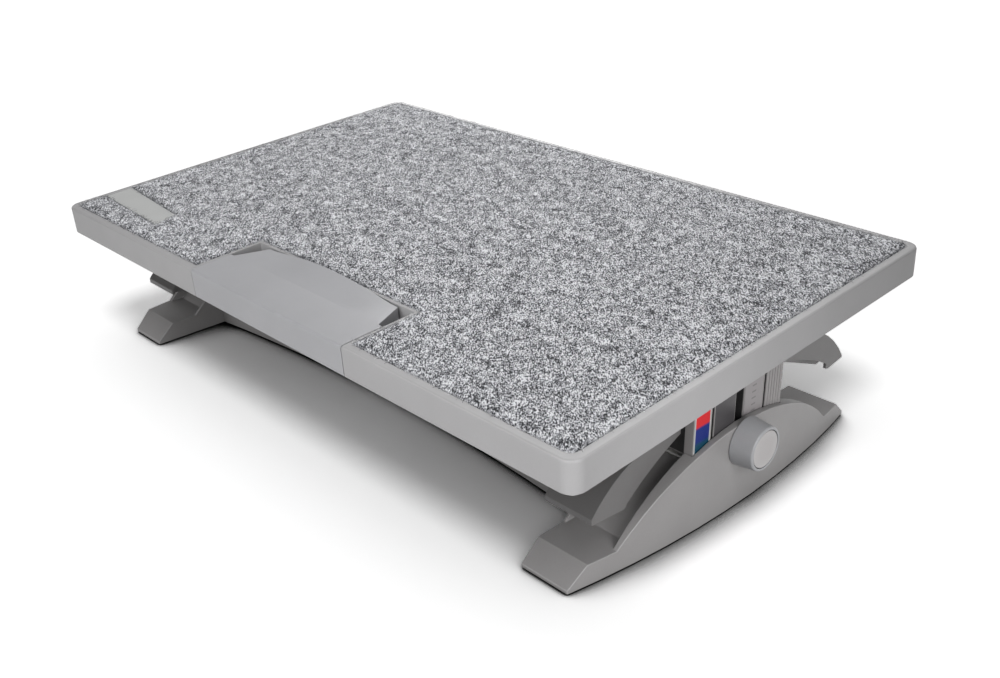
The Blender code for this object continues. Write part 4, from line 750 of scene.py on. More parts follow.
@dataclass(frozen=True)
class ColumnPlastic(MouldedPlastic):
    """The column's plastic: a hatched dark panel beside the slot, and painted shade behind its
    face.
    """

    face: float = 0.2598
    sunk: float = 0.0008
    foot: float = 0.0440
    panel: tuple[float, float] = (-0.0255, -0.0048)
    half: float = 0.0455
    ink: Colour = from_display(68, 66, 68)
    hollow: Colour = from_display(30, 30, 31)
    hatches_per_metre: float = 900.0
    grime_size: float = 0.003

    def paint(self, recipe: Recipe, base: bpy.types.NodeSocket) -> bpy.types.NodeSocket:
        """Darkens the panel, and paints shade on what lies behind the face.

        Args:
            recipe: The material under construction.
            base: The plastic's colour.

        Returns:
            The colour with both in place.
        """
        out, across, up = recipe.axes()
        middle = (self.panel[0] + self.panel[1]) / 2
        reach = (self.panel[1] - self.panel[0]) / 2
        front = out.absolute().step(self.face - 0.0003, 0.0002)
        above = up.step(self.foot, 0.0004)
        within = 1 - (across - middle).absolute().step(reach, 0.0002)
        stripes = ((across + up) * self.hatches_per_metre).fraction()
        hatch = (stripes - 0.5).absolute().step(0.25, 0.2)
        grime_and_shade_mottle = recipe.cloud(self.grime_size, 4.0, 0.7)
        inked = recipe.blend(hatch * 0.25 + grime_and_shade_mottle * 0.2, self.ink, scaled(self.ink, 1.7))
        printed = recipe.blend(front * above * within, base, inked)
        # Painted shade: surfaces recessed behind the face, such as the slot, are darkened as if in
        # shadow.
        behind = 1 - out.absolute().step(self.face - self.sunk, 0.0004)
        inside = 1 - across.absolute().step(self.half, 0.0003)
        deep = behind * above * inside * (0.98 - 0.1 * grime_and_shade_mottle)
        return recipe.blend(deep, printed, self.hollow)


class Finishes:
    """Every finish of the footrest, each built once when it is first used."""

    leg = MouldedPlastic("leg_plastic", "leg_grey", from_display(147, 145, 145), drift=0.06)
    column = ColumnPlastic("column_plastic", "leg_grey", from_display(150, 147, 147), drift=0.06)
    tray = MouldedPlastic("tray_plastic", "tray_grey", from_display(166, 165, 166), 0.40)
    tag = MouldedPlastic("tag_plastic", "tray_grey", from_display(184, 185, 184), 0.45)
    pedal = MouldedPlastic(
        "pedal_plastic", "pedal_grey", from_display(165, 165, 168), 0.38, rubbed=0.03
    )
    knob = MouldedPlastic("knob_plastic", "knob_grey", from_display(150, 151, 154), 0.40)
    cap = MouldedPlastic("cap_plastic", "cap_grey", from_display(172, 169, 169), 0.36)
    liner = MouldedPlastic("liner_plastic", "liner_white", (0.58, 0.58, 0.56), 0.5, rubbed=0.0)
    felt = NeedledFelt(
        "heather_felt",
        "carpet_grey",
        from_display(40, 41, 45),
        from_display(156, 157, 162),
        from_display(228, 229, 232),
    )
    fibre = LooseFibre(
        "loose_fibre",
        "carpet_grey",
        from_display(38, 39, 43),
        from_display(150, 151, 156),
        from_display(238, 239, 242),
    )
    steel = ZincSteel("zinc_plated_steel", "zinc_steel")
    rubber = Rubber("foot_rubber", "rubber_black")
    lining = Friction("friction_lining", "friction_brown")
    _made: dict[str, bpy.types.Material] = {}

    @classmethod
    def material(cls, finish: Finish) -> bpy.types.Material:
        """Returns a finish's material, built on first use.

        Args:
            finish: One of the finishes.

        Returns:
            Its material.
        """
        if finish.name not in cls._made:
            cls._made[finish.name] = finish.material()
        return cls._made[finish.name]


def linked(name: str, data: bpy.types.ID) -> bpy.types.Object:
    """Puts a mesh, a lamp or a camera into the scene as an object at the origin.

    Args:
        name: The object's name.
        data: What it holds.

    Returns:
        The object.
    """
    made = bpy.data.objects.new(name, data)
    bpy.context.scene.collection.objects.link(made)
    return made


def settled(obj: bpy.types.Object) -> bpy.types.Object:
    """Turns an object's modifiers into its plain mesh.

    Args:
        obj: The object.

    Returns:
        The same object, with its modifiers gone.
    """
    graph = bpy.context.evaluated_depsgraph_get()
    graph.update()
    mesh = bpy.data.meshes.new_from_object(
        obj.evaluated_get(graph), preserve_all_data_layers=True, depsgraph=graph
    )
    mesh.name = obj.name
    obj.modifiers.clear()
    obj.data = mesh
    return obj


def meshed(form: bmesh.types.BMesh, name: str) -> bpy.types.Mesh:
    """Turns a form into a mesh and frees the form.

    Args:
        form: The form.
        name: The mesh's name.

    Returns:
        The mesh.
    """
    mesh = bpy.data.meshes.new(name)
    form.to_mesh(mesh)
    form.free()
    return mesh


def shaded_smooth(mesh: bpy.types.Mesh) -> None:
    """Shades every face of a mesh smoothly."""
    for face in mesh.polygons:
        face.use_smooth = True


def with_flats(obj: bpy.types.Object) -> bpy.types.Object:
    """Keeps a piece's flats flat beside its roundings, by normals weighted by area."""
    obj.modifiers.new("flats", "WEIGHTED_NORMAL").keep_sharp = True
    return settled(obj)


def skinned(form: bmesh.types.BMesh, rings: Sequence[Sequence[bmesh.types.BMVert]]) -> None:
    """Closes the faces between each ring of vertices and the next.

    Args:
        form: The form that they are in.
        rings: The rings in order; a ring of one vertex is a pole.
    """
    sides = max(len(ring) for ring in rings)
    for first, second in zip(rings, rings[1:]):
        for i in range(sides):
            j = (i + 1) % sides
            near = [first[i % len(first)], first[j % len(first)]]
            far = [second[j % len(second)], second[i % len(second)]]
            distinct = list(dict.fromkeys(near + far))
            if len(distinct) > 2:
                form.faces.new(distinct)
    bmesh.ops.recalc_face_normals(form, faces=form.faces)


def platform_frame() -> Matrix:
    """The platform's own frame: it lies on the axle, tipped by the tilt at rest."""
    return Matrix.Translation((0, 0, AXLE_HEIGHT)) @ Matrix.Rotation(REST_TILT, 4, "X")


def reach_of(node: str, frame: Matrix) -> tuple[Vector, Vector]:
    """Measures a solid in a frame.

    Args:
        node: The solid.
        frame: The frame.

    Returns:
        Its lowest and its highest corner.
    """
    back = frame.inverted()
    points = [back @ v.co for v in bpy.data.objects[node].data.vertices]
    low, high = (Vector(pick(p[i] for p in points) for i in range(3)) for pick in (min, max))
    return low, high


def put(
    obj: bpy.types.Object, body: Body, finish: Finish, replaced: Sequence[str] = ()
) -> bpy.types.Object:
    """Gives a piece its finish, its body and the nodes that it stands for.

    Args:
        obj: The finished piece.
        body: What it rides on.
        finish: Its finish.
        replaced: The nodes that it stands for.

    Returns:
        The piece.
    """
    obj.data.materials.clear()
    obj.data.materials.append(Finishes.material(finish))
    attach(obj, body.value)
    if replaced:
        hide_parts(*replaced)
    log.info("%s: %d faces on %s", obj.name, len(obj.data.polygons), body.value)
    return obj


@dataclass
class Casting:
    """A rigid piece recast from its solid: welded, its flats whole again, its edges rounded."""

    node: str
    body: Body
    finish: Finish
    radius: float = 0.0005
    segments: int = 3
    sharpest: float = math.radians(28)
    flat_within: float = math.radians(0.4)
    stays_sharp: float = math.radians(42)

    def _welded(self) -> bpy.types.Mesh:
        """Copies the solid, welds it, and gives each edge the room that its rounding has.

        Returns:
            The welded mesh.
        """
        mesh = bpy.data.objects[self.node].data.copy()
        mesh.name = self.node + "_cast"
        form = bmesh.new()
        form.from_mesh(mesh)
        bmesh.ops.remove_doubles(form, verts=form.verts, dist=WELD)
        bmesh.ops.dissolve_degenerate(form, edges=form.edges, dist=1e-7)
        self.reshape(form)
        bmesh.ops.dissolve_limit(
            form, angle_limit=self.flat_within, verts=form.verts, edges=form.edges
        )
        bmesh.ops.recalc_face_normals(form, faces=form.faces)
        weights = form.edges.layers.float.new("bevel_weight_edge")
        for edge in form.edges:
            if len(edge.link_faces) == 2 and abs(edge.calc_face_angle(0.0)) > self.sharpest:
                edge[weights] = min(1.0, self._room(edge) / self.radius)
        form.to_mesh(mesh)
        form.free()
        return mesh

    def reshape(self, form: bmesh.types.BMesh) -> None:
        """Leaves the welded form as it is."""

    @staticmethod
    def _gap(first: bmesh.types.BMEdge, second: bmesh.types.BMEdge) -> float:
        """The distance between two straight edges, from their ends and their middles.

        Args:
            first: An edge.
            second: Another edge.

        Returns:
            The distance.
        """
        gap = math.inf
        for edge, other in ((first, second), (second, first)):
            start, end = (vert.co for vert in edge.verts)
            low, high = (vert.co for vert in other.verts)
            for point in (start, (start + end) / 2, end):
                share = intersect_point_line(point, low, high)[1]
                gap = min(gap, (point - low.lerp(high, min(max(share, 0.0), 1.0))).length)
        return gap

    @classmethod
    def _room(cls, edge: bmesh.types.BMEdge) -> float:
        """Finds how far an edge may be rounded without meeting another rounding.

        Args:
            edge: The edge.

        Returns:
            A third of what lies next to it: itself, an edge at a real corner, or a narrow strip.
        """
        shortest = edge.calc_length()
        along = (edge.verts[1].co - edge.verts[0].co).normalized()
        for vert in edge.verts:
            for other in vert.link_edges:
                if other is edge:
                    continue
                turn = abs(along.dot((other.verts[1].co - other.verts[0].co).normalized()))
                if turn < 0.9:
                    across = other.calc_length() * math.sqrt(1 - turn * turn)
                    shortest = min(shortest, across + 1e-6)
        for face in edge.link_faces:
            for other in face.edges:
                if not set(other.verts) & set(edge.verts):
                    shortest = min(shortest, cls._gap(edge, other))
        return shortest / 3

    def build(self, name: str | None = None) -> bpy.types.Object:
        """Recasts the piece.

        Args:
            name: The piece's name, where it isn't the node's.

        Returns:
            The piece, not yet dressed.
        """
        obj = linked(name or self.node + "_moulding", self._welded())
        slots = obj.data.materials
        slots.clear()
        for label in ("flat", "rounding"):
            slots.append(bpy.data.materials.get(label) or bpy.data.materials.new(label))
        for face in obj.data.polygons:
            face.material_index = 0
        shaded_smooth(obj.data)
        bevel = obj.modifiers.new("rounding", "BEVEL")
        bevel.limit_method = "WEIGHT"
        bevel.width = self.radius
        bevel.segments = self.segments
        bevel.use_clamp_overlap = False
        bevel.material = 1
        settled(obj)
        self._mark_edges(obj.data)
        return with_flats(obj)

    def _mark_edges(self, mesh: bpy.types.Mesh) -> None:
        """Stores where the roundings are, and keeps the edges that stayed sharp.

        Args:
            mesh: The piece's mesh.
        """
        form = bmesh.new()
        form.from_mesh(mesh)
        level = form.verts.layers.float.new("edge")
        for vert in form.verts:
            faces = vert.link_faces
            vert[level] = 1.0 if faces and all(f.material_index == 1 for f in faces) else 0.0
        for edge in form.edges:
            turn = abs(edge.calc_face_angle(0.0))
            edge.smooth = len(edge.link_faces) == 2 and turn < self.stays_sharp
        form.to_mesh(mesh)
        form.free()
        for face in mesh.polygons:
            face.material_index = 0
        shaded_smooth(mesh)

    def dress(self, obj: bpy.types.Object) -> bpy.types.Object:
        """Gives the piece its finish and body, in the place of its node."""
        return put(obj, self.body, self.finish, [self.node])


def recast(
    node: str, body: Body, finish: Finish, radius: float = 0.0005, segments: int = 3
) -> bpy.types.Object:
    """Recasts a node and dresses it, its edges rounded to a radius in a number of segments."""
    casting = Casting(node, body, finish, radius, segments)
    return casting.dress(casting.build())


class Grower(Tree):
    """A tree of geometry nodes, with named inputs for its sizes."""

    def __init__(self, name: str, sizes: Mapping[str, float | int]) -> None:
        """Starts a tree with an input for the geometry and one for each size.

        Args:
            name: The tree's name.
            sizes: The named inputs and their values.
        """
        group = bpy.data.node_groups.new(name, "GeometryNodeTree")
        super().__init__(group)
        self.sizes = dict(sizes)
        sheet = group.interface
        sheet.new_socket("Geometry", in_out="INPUT", socket_type="NodeSocketGeometry")
        sheet.new_socket("Geometry", in_out="OUTPUT", socket_type="NodeSocketGeometry")
        self.keys = {}
        for label, value in sizes.items():
            kind = "NodeSocketInt" if isinstance(value, int) else "NodeSocketFloat"
            self.keys[label] = sheet.new_socket(label, in_out="INPUT", socket_type=kind).identifier
        self.inputs = self.node("NodeGroupInput")

    def size(self, label: str) -> Flow:
        """Reads a named input."""
        return Flow(self, self.inputs.outputs[label])

    @property
    def geometry(self) -> bpy.types.NodeSocket:
        """The geometry that comes in."""
        return self.inputs.outputs["Geometry"]

    def stored(self, name: str) -> Flow:
        """Reads a number that is stored on the geometry."""
        kind = "GeometryNodeInputNamedAttribute"
        return self.read(kind, "Attribute", {"data_type": "FLOAT"}, {"Name": name})

    def chance(self, low: float, high: float, seed: int | Flow) -> Flow:
        """Draws a number between two others for each point."""
        inputs = {2: low, 3: high, "Seed": seed}
        return self.read("FunctionNodeRandomValue", 1, {"data_type": "FLOAT"}, inputs)

    def grow(
        self, obj: bpy.types.Object, result: bpy.types.NodeSocket, finish: Finish
    ) -> bpy.types.Object:
        """Ends the tree, runs it on an object and keeps the plain mesh.

        Args:
            obj: The object that it runs on.
            result: The geometry that the tree makes.
            finish: The finish of what it makes.

        Returns:
            The object with its new mesh.
        """
        real = self.node("GeometryNodeRealizeInstances", {}, {"Geometry": result})
        painted = self.node(
            "GeometryNodeSetMaterial",
            {},
            {"Geometry": real.outputs["Geometry"], "Material": Finishes.material(finish)},
        )
        self.node("NodeGroupOutput", {}, {"Geometry": painted.outputs["Geometry"]})
        modifier = obj.modifiers.new(self.tree.name, "NODES")
        modifier.node_group = self.tree
        for label, value in self.sizes.items():
            modifier[self.keys[label]] = value
        return settled(obj)


@dataclass
class Leg:
    """One leg with its guide, its feet and the nut of its clamp."""

    side: Side
    edge: float = 0.0007

    def build(self) -> None:
        """Recasts the leg and what it carries."""
        label = self.side.label
        recast("leg_" + label, Body.BASE, Finishes.leg, self.edge, 3)
        recast("column_guide_" + label, Body.BASE, Finishes.liner, 0.0002, 2)
        recast("clamp_nut_" + label, Body.BASE, Finishes.steel, 0.0003, 2)
        for end in ENDS:
            recast(f"rubber_pad_{end}_{label}", Body.BASE, Finishes.rubber, 0.0006, 3)


@dataclass
class Column:
    """One column with its printed strip, its plate and the clip on the axle."""

    side: Side
    label_margin: float = 0.0011

    def build(self) -> None:
        """Recasts the column and dresses its plates."""
        label = self.side.label
        recast("column_" + label, Body.LIFT, Finishes.column, 0.0003, 2)
        recast("axle_clip_" + label, Body.LIFT, Finishes.steel, 0.0002, 2)
        low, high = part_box("height_label_" + label)
        bands = HeightBands(
            "height_bands_" + label,
            "height_print",
            low.z,
            high.z,
            (low.y + high.y) / 2,
            (high.y - low.y) / 2 - self.label_margin,
        )
        recast("height_label_" + label, Body.LIFT, bands, 0.0001, 2)
        low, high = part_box("scale_plate_" + label)
        plate = ScalePlate("scale_face_" + label, "scale_print", (low.y + high.y) / 2)
        recast("scale_plate_" + label, Body.LIFT, plate, 0.0001, 2)


@dataclass
class Clamp:
    """The knob of one side, turned afresh from its profile, with its cap, screw and washer."""

    side: Side
    centre: Point
    reach: float = 0.0161
    root: float = 0.0166
    root_round: float = 0.0005
    front: float = 0.0151
    turn: float = 0.0014
    lip: float = 0.0004
    recess: float = 0.0131
    recess_depth: float = 0.0027
    cap: float = 0.01262
    cap_thick: float = 0.0022
    cap_sink: float = 0.0002
    cap_edge: float = 0.0005
    cap_foot: float = 0.0002
    cap_crown: float = 0.00006
    bore: float = 0.0058
    sides: int = 96
    stays_sharp: float = math.radians(35)

    @property
    def body(self) -> Body:
        """The body of this knob."""
        return Body.KNOB_RIGHT if self.side is Side.RIGHT else Body.KNOB_LEFT

    @staticmethod
    def _round(
        radius: float, centre: tuple[float, float], start: float, end: float, steps: int
    ) -> list[Point]:
        """Points of a rounding in the profile.

        Args:
            radius: Its radius.
            centre: Its centre, out from the axis and along it.
            start: Its first angle in degrees.
            end: Its last angle in degrees.
            steps: How many steps it has.

        Returns:
            The points.
        """
        out, along = centre
        angles = [math.radians(start + (end - start) * i / steps) for i in range(steps + 1)]
        return [(out + radius * math.cos(a), along + radius * math.sin(a), 1.0) for a in angles]

    def _turned(self, name: str, profile: Sequence[Point], closed: bool) -> bpy.types.Object:
        """Turns a profile about the clamp's axis.

        Args:
            name: The piece's name.
            profile: Points out from the axis and along it, each with how far its edge is lightened
                as wear and painted highlight.
            closed: Whether the profile runs back into itself, or else from axis to axis.

        Returns:
            The piece.
        """
        form = bmesh.new()
        level = form.verts.layers.float.new("edge")
        rings = []
        for radius, along, rubbed in profile:
            x = self.centre[0] + self.side.value * along
            count = self.sides if radius else 1
            ring = []
            for i in range(count):
                angle = 2 * math.pi * i / count
                y = self.centre[1] + radius * math.cos(angle)
                vert = form.verts.new((x, y, self.centre[2] + radius * math.sin(angle)))
                # How far the edge is lightened: partly rubbed wear, partly a painted highlight.
                vert[level] = rubbed
                ring.append(vert)
            rings.append(ring)
        skinned(form, rings + rings[:1] if closed else rings)
        for edge in form.edges:
            edge.smooth = abs(edge.calc_face_angle(0.0)) < self.stays_sharp
        mesh = meshed(form, name)
        shaded_smooth(mesh)
        return with_flats(linked(name, mesh))

    def knob(self) -> bpy.types.Object:
        """Turns the knob: it narrows to its front, with a broken rim and a recess for the cap.

        Returns:
            The knob.
        """
        floor = self.reach - self.recess_depth
        rim_centre = (self.front - self.turn, self.reach - self.turn)
        rim = self._round(self.turn, rim_centre, 0, 90, 7)
        inner = self._round(self.lip, (self.recess + self.lip, self.reach - self.lip), 90, 180, 4)
        foot = self.root_round
        root = self._round(foot, (self.root - foot, foot), -90, 0, 3)
        profile = [(self.bore, 0.0, 0.0)] + root + rim + inner
        profile += [(self.recess, floor, 0.0), (self.bore, floor, 0.0)]
        return self._turned("knob_turned_" + self.side.label, profile, True)

    def knob_cap(self) -> bpy.types.Object:
        """Turns the cap: a flat disc, faintly crowned, with a rounded rim.

        Returns:
            The cap.
        """
        top = self.reach - self.cap_sink
        under = top - self.cap_thick
        edge, foot = self.cap_edge, self.cap_foot
        low = self._round(foot, (self.cap - foot, under + foot), -90, 0, 2)
        high = self._round(edge, (self.cap - edge, top - edge), 0, 90, 5)
        crown = self.cap_crown
        high += [(self.cap * 0.5, top + crown * 2 / 3, 0.0), (0.0, top + crown, 0.0)]
        profile = [(0.0, under, 0.0)] + low + high
        return self._turned("knob_cap_turned_" + self.side.label, profile, False)

    def build(self) -> None:
        """Makes the clamp of this side."""
        label = self.side.label
        put(self.knob(), self.body, Finishes.knob, ["knob_" + label])
        put(self.knob_cap(), self.body, Finishes.cap, ["knob_cap_" + label])
        recast("clamp_screw_" + label, self.body, Finishes.steel, 0.0002, 2)
        recast("clamp_washer_" + label, self.body, Finishes.steel, 0.0001, 2)


@dataclass
class FeltPad:
    """The carpet: a felt slab on a fine grid, with relief, soft edges and loose fibres."""

    spacing: float = 0.0020
    straight_side: float = 0.008
    corner: float = math.radians(40)
    relief: float = 0.00055
    relief_size: float = 0.0034
    relief_mean: float = 0.62
    edge_drop: float = 0.0011
    edge_reach: float = 0.0016
    edge_rows: int = 4
    nap_density: float = 62000.0
    nap_length: float = 0.0030
    nap_width: float = 0.00015
    nap_pitch: float = 0.22
    fuzz_spacing: float = 0.00042
    fuzz_length: float = 0.0030
    fuzz_pitch: float = 0.75
    seed: int = 11
    outline: list[tuple[float, float]] = field(default_factory=list)
    low: float = 0.0
    high: float = 0.0

    def _measure(self) -> None:
        """Reads the pad's outline, underside and top from its solid, in the platform's frame."""
        form = bmesh.new()
        form.from_mesh(bpy.data.objects["carpet_pad"].data)
        bmesh.ops.remove_doubles(form, verts=form.verts, dist=WELD)
        form.transform(platform_frame().inverted())
        heights = [v.co.z for v in form.verts]
        self.low, self.high = min(heights), max(heights)
        top = [f for f in form.faces if all(v.co.z > self.high - 1e-5 for v in f.verts)]
        border = [e for f in top for e in f.edges if sum(g in top for g in e.link_faces) == 1]
        links: dict[bmesh.types.BMVert, list[bmesh.types.BMVert]] = {}
        for edge in border:
            a, b = edge.verts
            links.setdefault(a, []).append(b)
            links.setdefault(b, []).append(a)
        start = border[0].verts[0]
        walk, last = [start], None
        while True:
            ahead = next(v for v in links[walk[-1]] if v is not last)
            last = walk[-1]
            if ahead is start:
                break
            walk.append(ahead)
        self.outline = [(v.co.x, v.co.y) for v in walk]
        form.free()

    def _sides(self) -> list[tuple[tuple[float, float], tuple[float, float]]]:
        """The outline's sides, each as its two ends."""
        return list(zip(self.outline, self.outline[1:] + self.outline[:1]))

    def _lines(self, axis: int) -> np.ndarray:
        """The grid's lines along one axis: they pass through the outline's long straight sides.

        Args:
            axis: 0 for lines of constant X, 1 for constant Y.

        Returns:
            Their places in order.
        """
        stops = {pick(p[axis] for p in self.outline) for pick in (min, max)}
        for a, b in self._sides():
            level = abs(a[axis] - b[axis]) < 1e-6
            if level and abs(a[1 - axis] - b[1 - axis]) > self.straight_side:
                stops.add(round((a[axis] + b[axis]) / 2, 7))
        kept: list[float] = []
        for stop in sorted(stops):
            if not kept or stop - kept[-1] > self.spacing / 2:
                kept.append(stop)
        lines = [kept[0]]
        for a, b in zip(kept, kept[1:]):
            count = max(1, round((b - a) / self.spacing))
            lines += [a + (b - a) * (i + 1) / count for i in range(count)]
        return np.array(lines)

    def _inside(self, x: np.ndarray, y: np.ndarray) -> np.ndarray:
        """Tells which points lie inside the outline.

        Args:
            x: Their X.
            y: Their Y.

        Returns:
            A truth for each.
        """
        found = np.zeros(x.shape, bool)
        for (ax, ay), (bx, by) in self._sides():
            crosses = (ay > y) != (by > y)
            if ay != by:
                found ^= crosses & (x < (bx - ax) * (y - ay) / (by - ay) + ax)
        return found

    def _nearest(self, place: np.ndarray) -> np.ndarray:
        """The nearest point of the outline.

        Args:
            place: A point.

        Returns:
            The nearest point.
        """
        best, far = place, math.inf
        for a, b in self._sides():
            a, b = np.array(a), np.array(b)
            along = b - a
            share = float(np.clip((place - a) @ along / (along @ along), 0, 1))
            spot = a + along * share
            reach = float(np.hypot(*(place - spot)))
            if reach < far:
                best, far = spot, reach
        return best

    def _slab(self) -> bpy.types.Object:
        """Builds the slab on its grid, before its relief.

        Returns:
            The slab.
        """
        xs, ys = self._lines(0), self._lines(1)
        middles = [(line[1:] + line[:-1]) / 2 for line in (xs, ys)]
        kept = self._inside(*np.meshgrid(*middles, indexing="ij"))
        form = bmesh.new()
        sunk = form.verts.layers.float.new("sunk")
        top = form.verts.layers.float.new("top")
        gap = form.verts.layers.float.new("gap")
        verts: dict[tuple[int, int], bmesh.types.BMVert] = {}
        for i, j in zip(*np.nonzero(kept)):
            cell = ((i, j), (i + 1, j), (i + 1, j + 1), (i, j + 1))
            for column, row in cell:
                if (column, row) not in verts:
                    verts[column, row] = form.verts.new((xs[column], ys[row], self.high))
            form.faces.new([verts[crossing] for crossing in cell])
        rim = [v for v in form.verts if v.is_boundary]
        for vert in rim:
            vert.co.x, vert.co.y = self._nearest(np.array(vert.co.xy))
        self._keep_corners(rim)
        for vert in form.verts:
            vert[top] = 1.0
            vert[gap] = 1.0
        ring, seen = set(rim), set(rim)
        for row in range(self.edge_rows):
            for vert in ring:
                vert[gap] = row * self.spacing
            ring = {w for v in ring for e in v.link_edges for w in e.verts if w not in seen}
            seen |= ring
        below = self._walled(form, rim)
        for vert in below:
            vert[sunk] = 1.0
        form.transform(platform_frame())
        return linked("felt_pad", meshed(form, "felt_pad"))

    def _walled(
        self, form: bmesh.types.BMesh, rim: Sequence[bmesh.types.BMVert]
    ) -> list[bmesh.types.BMVert]:
        """Closes the slab with a wall along its rim and one face underneath.

        Args:
            form: The slab's top, which faces up.
            rim: The vertices along its rim.

        Returns:
            The vertices of the lower rim.
        """
        under = {vert: form.verts.new((vert.co.x, vert.co.y, self.low)) for vert in rim}
        loops = [e.link_loops[0] for e in form.edges if e.is_boundary]
        ahead = {loop.vert: loop.link_loop_next.vert for loop in loops}
        for near, far in ahead.items():
            form.faces.new((far, near, under[near], under[far]))
        walk = [rim[0]]
        while len(walk) < len(rim):
            walk.append(ahead[walk[-1]])
        form.faces.new([under[vert] for vert in reversed(walk)])
        return list(under.values())

    def _keep_corners(self, rim: Sequence[bmesh.types.BMVert]) -> None:
        """Moves the nearest vertex of the rim onto each sharp corner of the outline.

        Args:
            rim: The vertices along the rim.
        """
        for (before, here), (_, after) in zip(self._sides()[-1:] + self._sides(), self._sides()):
            ahead, behind = Vector(after) - Vector(here), Vector(here) - Vector(before)
            if behind.angle(ahead, 0.0) > self.corner:
                near = min(rim, key=lambda v: (v.co.xy - Vector(here)).length)
                near.co.x, near.co.y = here

    def _relief(self, obj: bpy.types.Object) -> bpy.types.Object:
        """Gives the top its lumps and lets its edge fall away.

        Args:
            obj: The slab.

        Returns:
            The pad.
        """
        tree = Grower(
            "felt_relief",
            {
                "Relief": self.relief,
                "Lump size": self.relief_size,
                "Edge drop": self.edge_drop,
                "Edge reach": self.edge_reach,
            },
        )
        top, gap = tree.stored("top"), tree.stored("gap")
        noise = tree.read(
            "ShaderNodeTexNoise",
            0,
            {},
            {"Scale": tree.size("Lump size") ** -1.0, "Detail": 2.0, "Roughness": 0.6},
        )
        lumps = (noise - self.relief_mean) * tree.size("Relief") * 2.0
        falling = (-1.0 * gap / tree.size("Edge reach")).exponential() * tree.size("Edge drop")
        offset = tree.node("ShaderNodeCombineXYZ", {}, {"Z": (lumps - falling) * top})
        moved = tree.node(
            "GeometryNodeSetPosition",
            {},
            {"Geometry": tree.geometry, "Offset": offset.outputs["Vector"]},
        )
        return tree.grow(obj, moved.outputs["Geometry"], Finishes.felt)

    @staticmethod
    def _fibre(tree: Grower) -> bpy.types.NodeSocket:
        """Bends one fibre, three-sided and open at its ends.

        Args:
            tree: The tree, with inputs for its length and width.

        Returns:
            The fibre's mesh.
        """
        length, width = tree.size("Length"), tree.size("Width")
        bend = {"X": length * 0.5, "Y": length * 0.16, "Z": length * 0.22}
        half = tree.node("ShaderNodeCombineXYZ", {}, bend)
        end = tree.node("ShaderNodeCombineXYZ", {}, {"X": length, "Z": length * -0.04})
        line = tree.node(
            "GeometryNodeCurveQuadraticBezier",
            {},
            {"Resolution": 3, "Start": (0, 0, 0), "Middle": half.outputs[0], "End": end.outputs[0]},
        )
        circle = {"Resolution": 3, "Radius": width * 0.5}
        ring = tree.node("GeometryNodeCurvePrimitiveCircle", {}, circle)
        tube = tree.node(
            "GeometryNodeCurveToMesh",
            {},
            {"Curve": line.outputs["Curve"], "Profile Curve": ring.outputs["Curve"]},
        )
        return tube.outputs["Mesh"]

    def _sown(
        self, tree: Grower, points: bpy.types.NodeSocket, pitch: float
    ) -> bpy.types.NodeSocket:
        """Lays a fibre on each point, each turned, sized and shaded in its own way.

        Args:
            tree: The tree.
            points: The points.
            pitch: How far a fibre may stand up.

        Returns:
            The instances.
        """
        turn = tree.node(
            "FunctionNodeRandomValue",
            {"data_type": "FLOAT_VECTOR"},
            {0: (-0.5, -pitch, 0.0), 1: (0.5, pitch * 0.3, 2 * math.pi), "Seed": self.seed},
        )
        size = tree.chance(0.45, 1.25, self.seed + 1)
        shade = tree.chance(0.0, 1.0, self.seed + 2)
        laid = tree.node(
            "GeometryNodeInstanceOnPoints",
            {},
            {
                "Points": points,
                "Instance": self._fibre(tree),
                "Rotation": turn.outputs[0],
                "Scale": size,
            },
        )
        stored = tree.node(
            "GeometryNodeStoreNamedAttribute",
            {"data_type": "FLOAT", "domain": "INSTANCE"},
            {"Geometry": laid.outputs[0], "Name": "fibre_shade", "Value": shade},
        )
        return stored.outputs["Geometry"]

    def _nap(self, pad: bpy.types.Object) -> bpy.types.Object:
        """Sows loose fibres over the pad's top.

        Args:
            pad: The pad.

        Returns:
            The nap.
        """
        obj = linked("felt_nap", pad.data.copy())
        tree = Grower(
            "felt_nap",
            {
                "Density": self.nap_density,
                "Length": self.nap_length,
                "Width": self.nap_width,
                "Seed": self.seed,
            },
        )
        top = tree.stored("top")
        sown = tree.node(
            "GeometryNodeDistributePointsOnFaces",
            {"distribute_method": "RANDOM"},
            {
                "Mesh": tree.geometry,
                "Selection": top.above(0.9),
                "Density": tree.size("Density"),
                "Seed": tree.size("Seed"),
            },
        )
        fibres = self._sown(tree, sown.outputs["Points"], self.nap_pitch)
        return tree.grow(obj, fibres, Finishes.fibre)

    def _fuzz(self) -> bpy.types.Object:
        """Lets fibres stand out along the pad's cut edge.

        Returns:
            The fuzz.
        """
        rim = bpy.data.meshes.new("felt_fuzz")
        count = len(self.outline)
        frame = platform_frame()
        height = self.high - self.edge_drop
        rim.from_pydata(
            [frame @ Vector((x, y, height)) for x, y in self.outline],
            [(i, (i + 1) % count) for i in range(count)],
            [],
        )
        obj = linked("felt_fuzz", rim)
        tree = Grower(
            "felt_fuzz",
            {"Spacing": self.fuzz_spacing, "Length": self.fuzz_length, "Width": self.nap_width},
        )
        line = tree.node("GeometryNodeMeshToCurve", {}, {"Mesh": tree.geometry})
        points = tree.node(
            "GeometryNodeCurveToPoints",
            {"mode": "LENGTH"},
            {"Curve": line.outputs["Curve"], "Length": tree.size("Spacing")},
        )
        fibres = self._sown(tree, points.outputs["Points"], self.fuzz_pitch)
        return tree.grow(obj, fibres, Finishes.fibre)

    def build(self) -> None:
        """Makes the pad, its nap and its fuzz."""
        self._measure()
        pad = self._relief(self._slab())
        shaded_smooth(pad.data)
        nap = self._nap(pad)
        fuzz = self._fuzz()
        put(pad, Body.PLATFORM, Finishes.felt, ["carpet_pad"])
        put(nap, Body.PLATFORM, Finishes.fibre)
        put(fuzz, Body.PLATFORM, Finishes.fibre)
        area = sum(ax * by - bx * ay for (ax, ay), (bx, by) in self._sides()) / 2


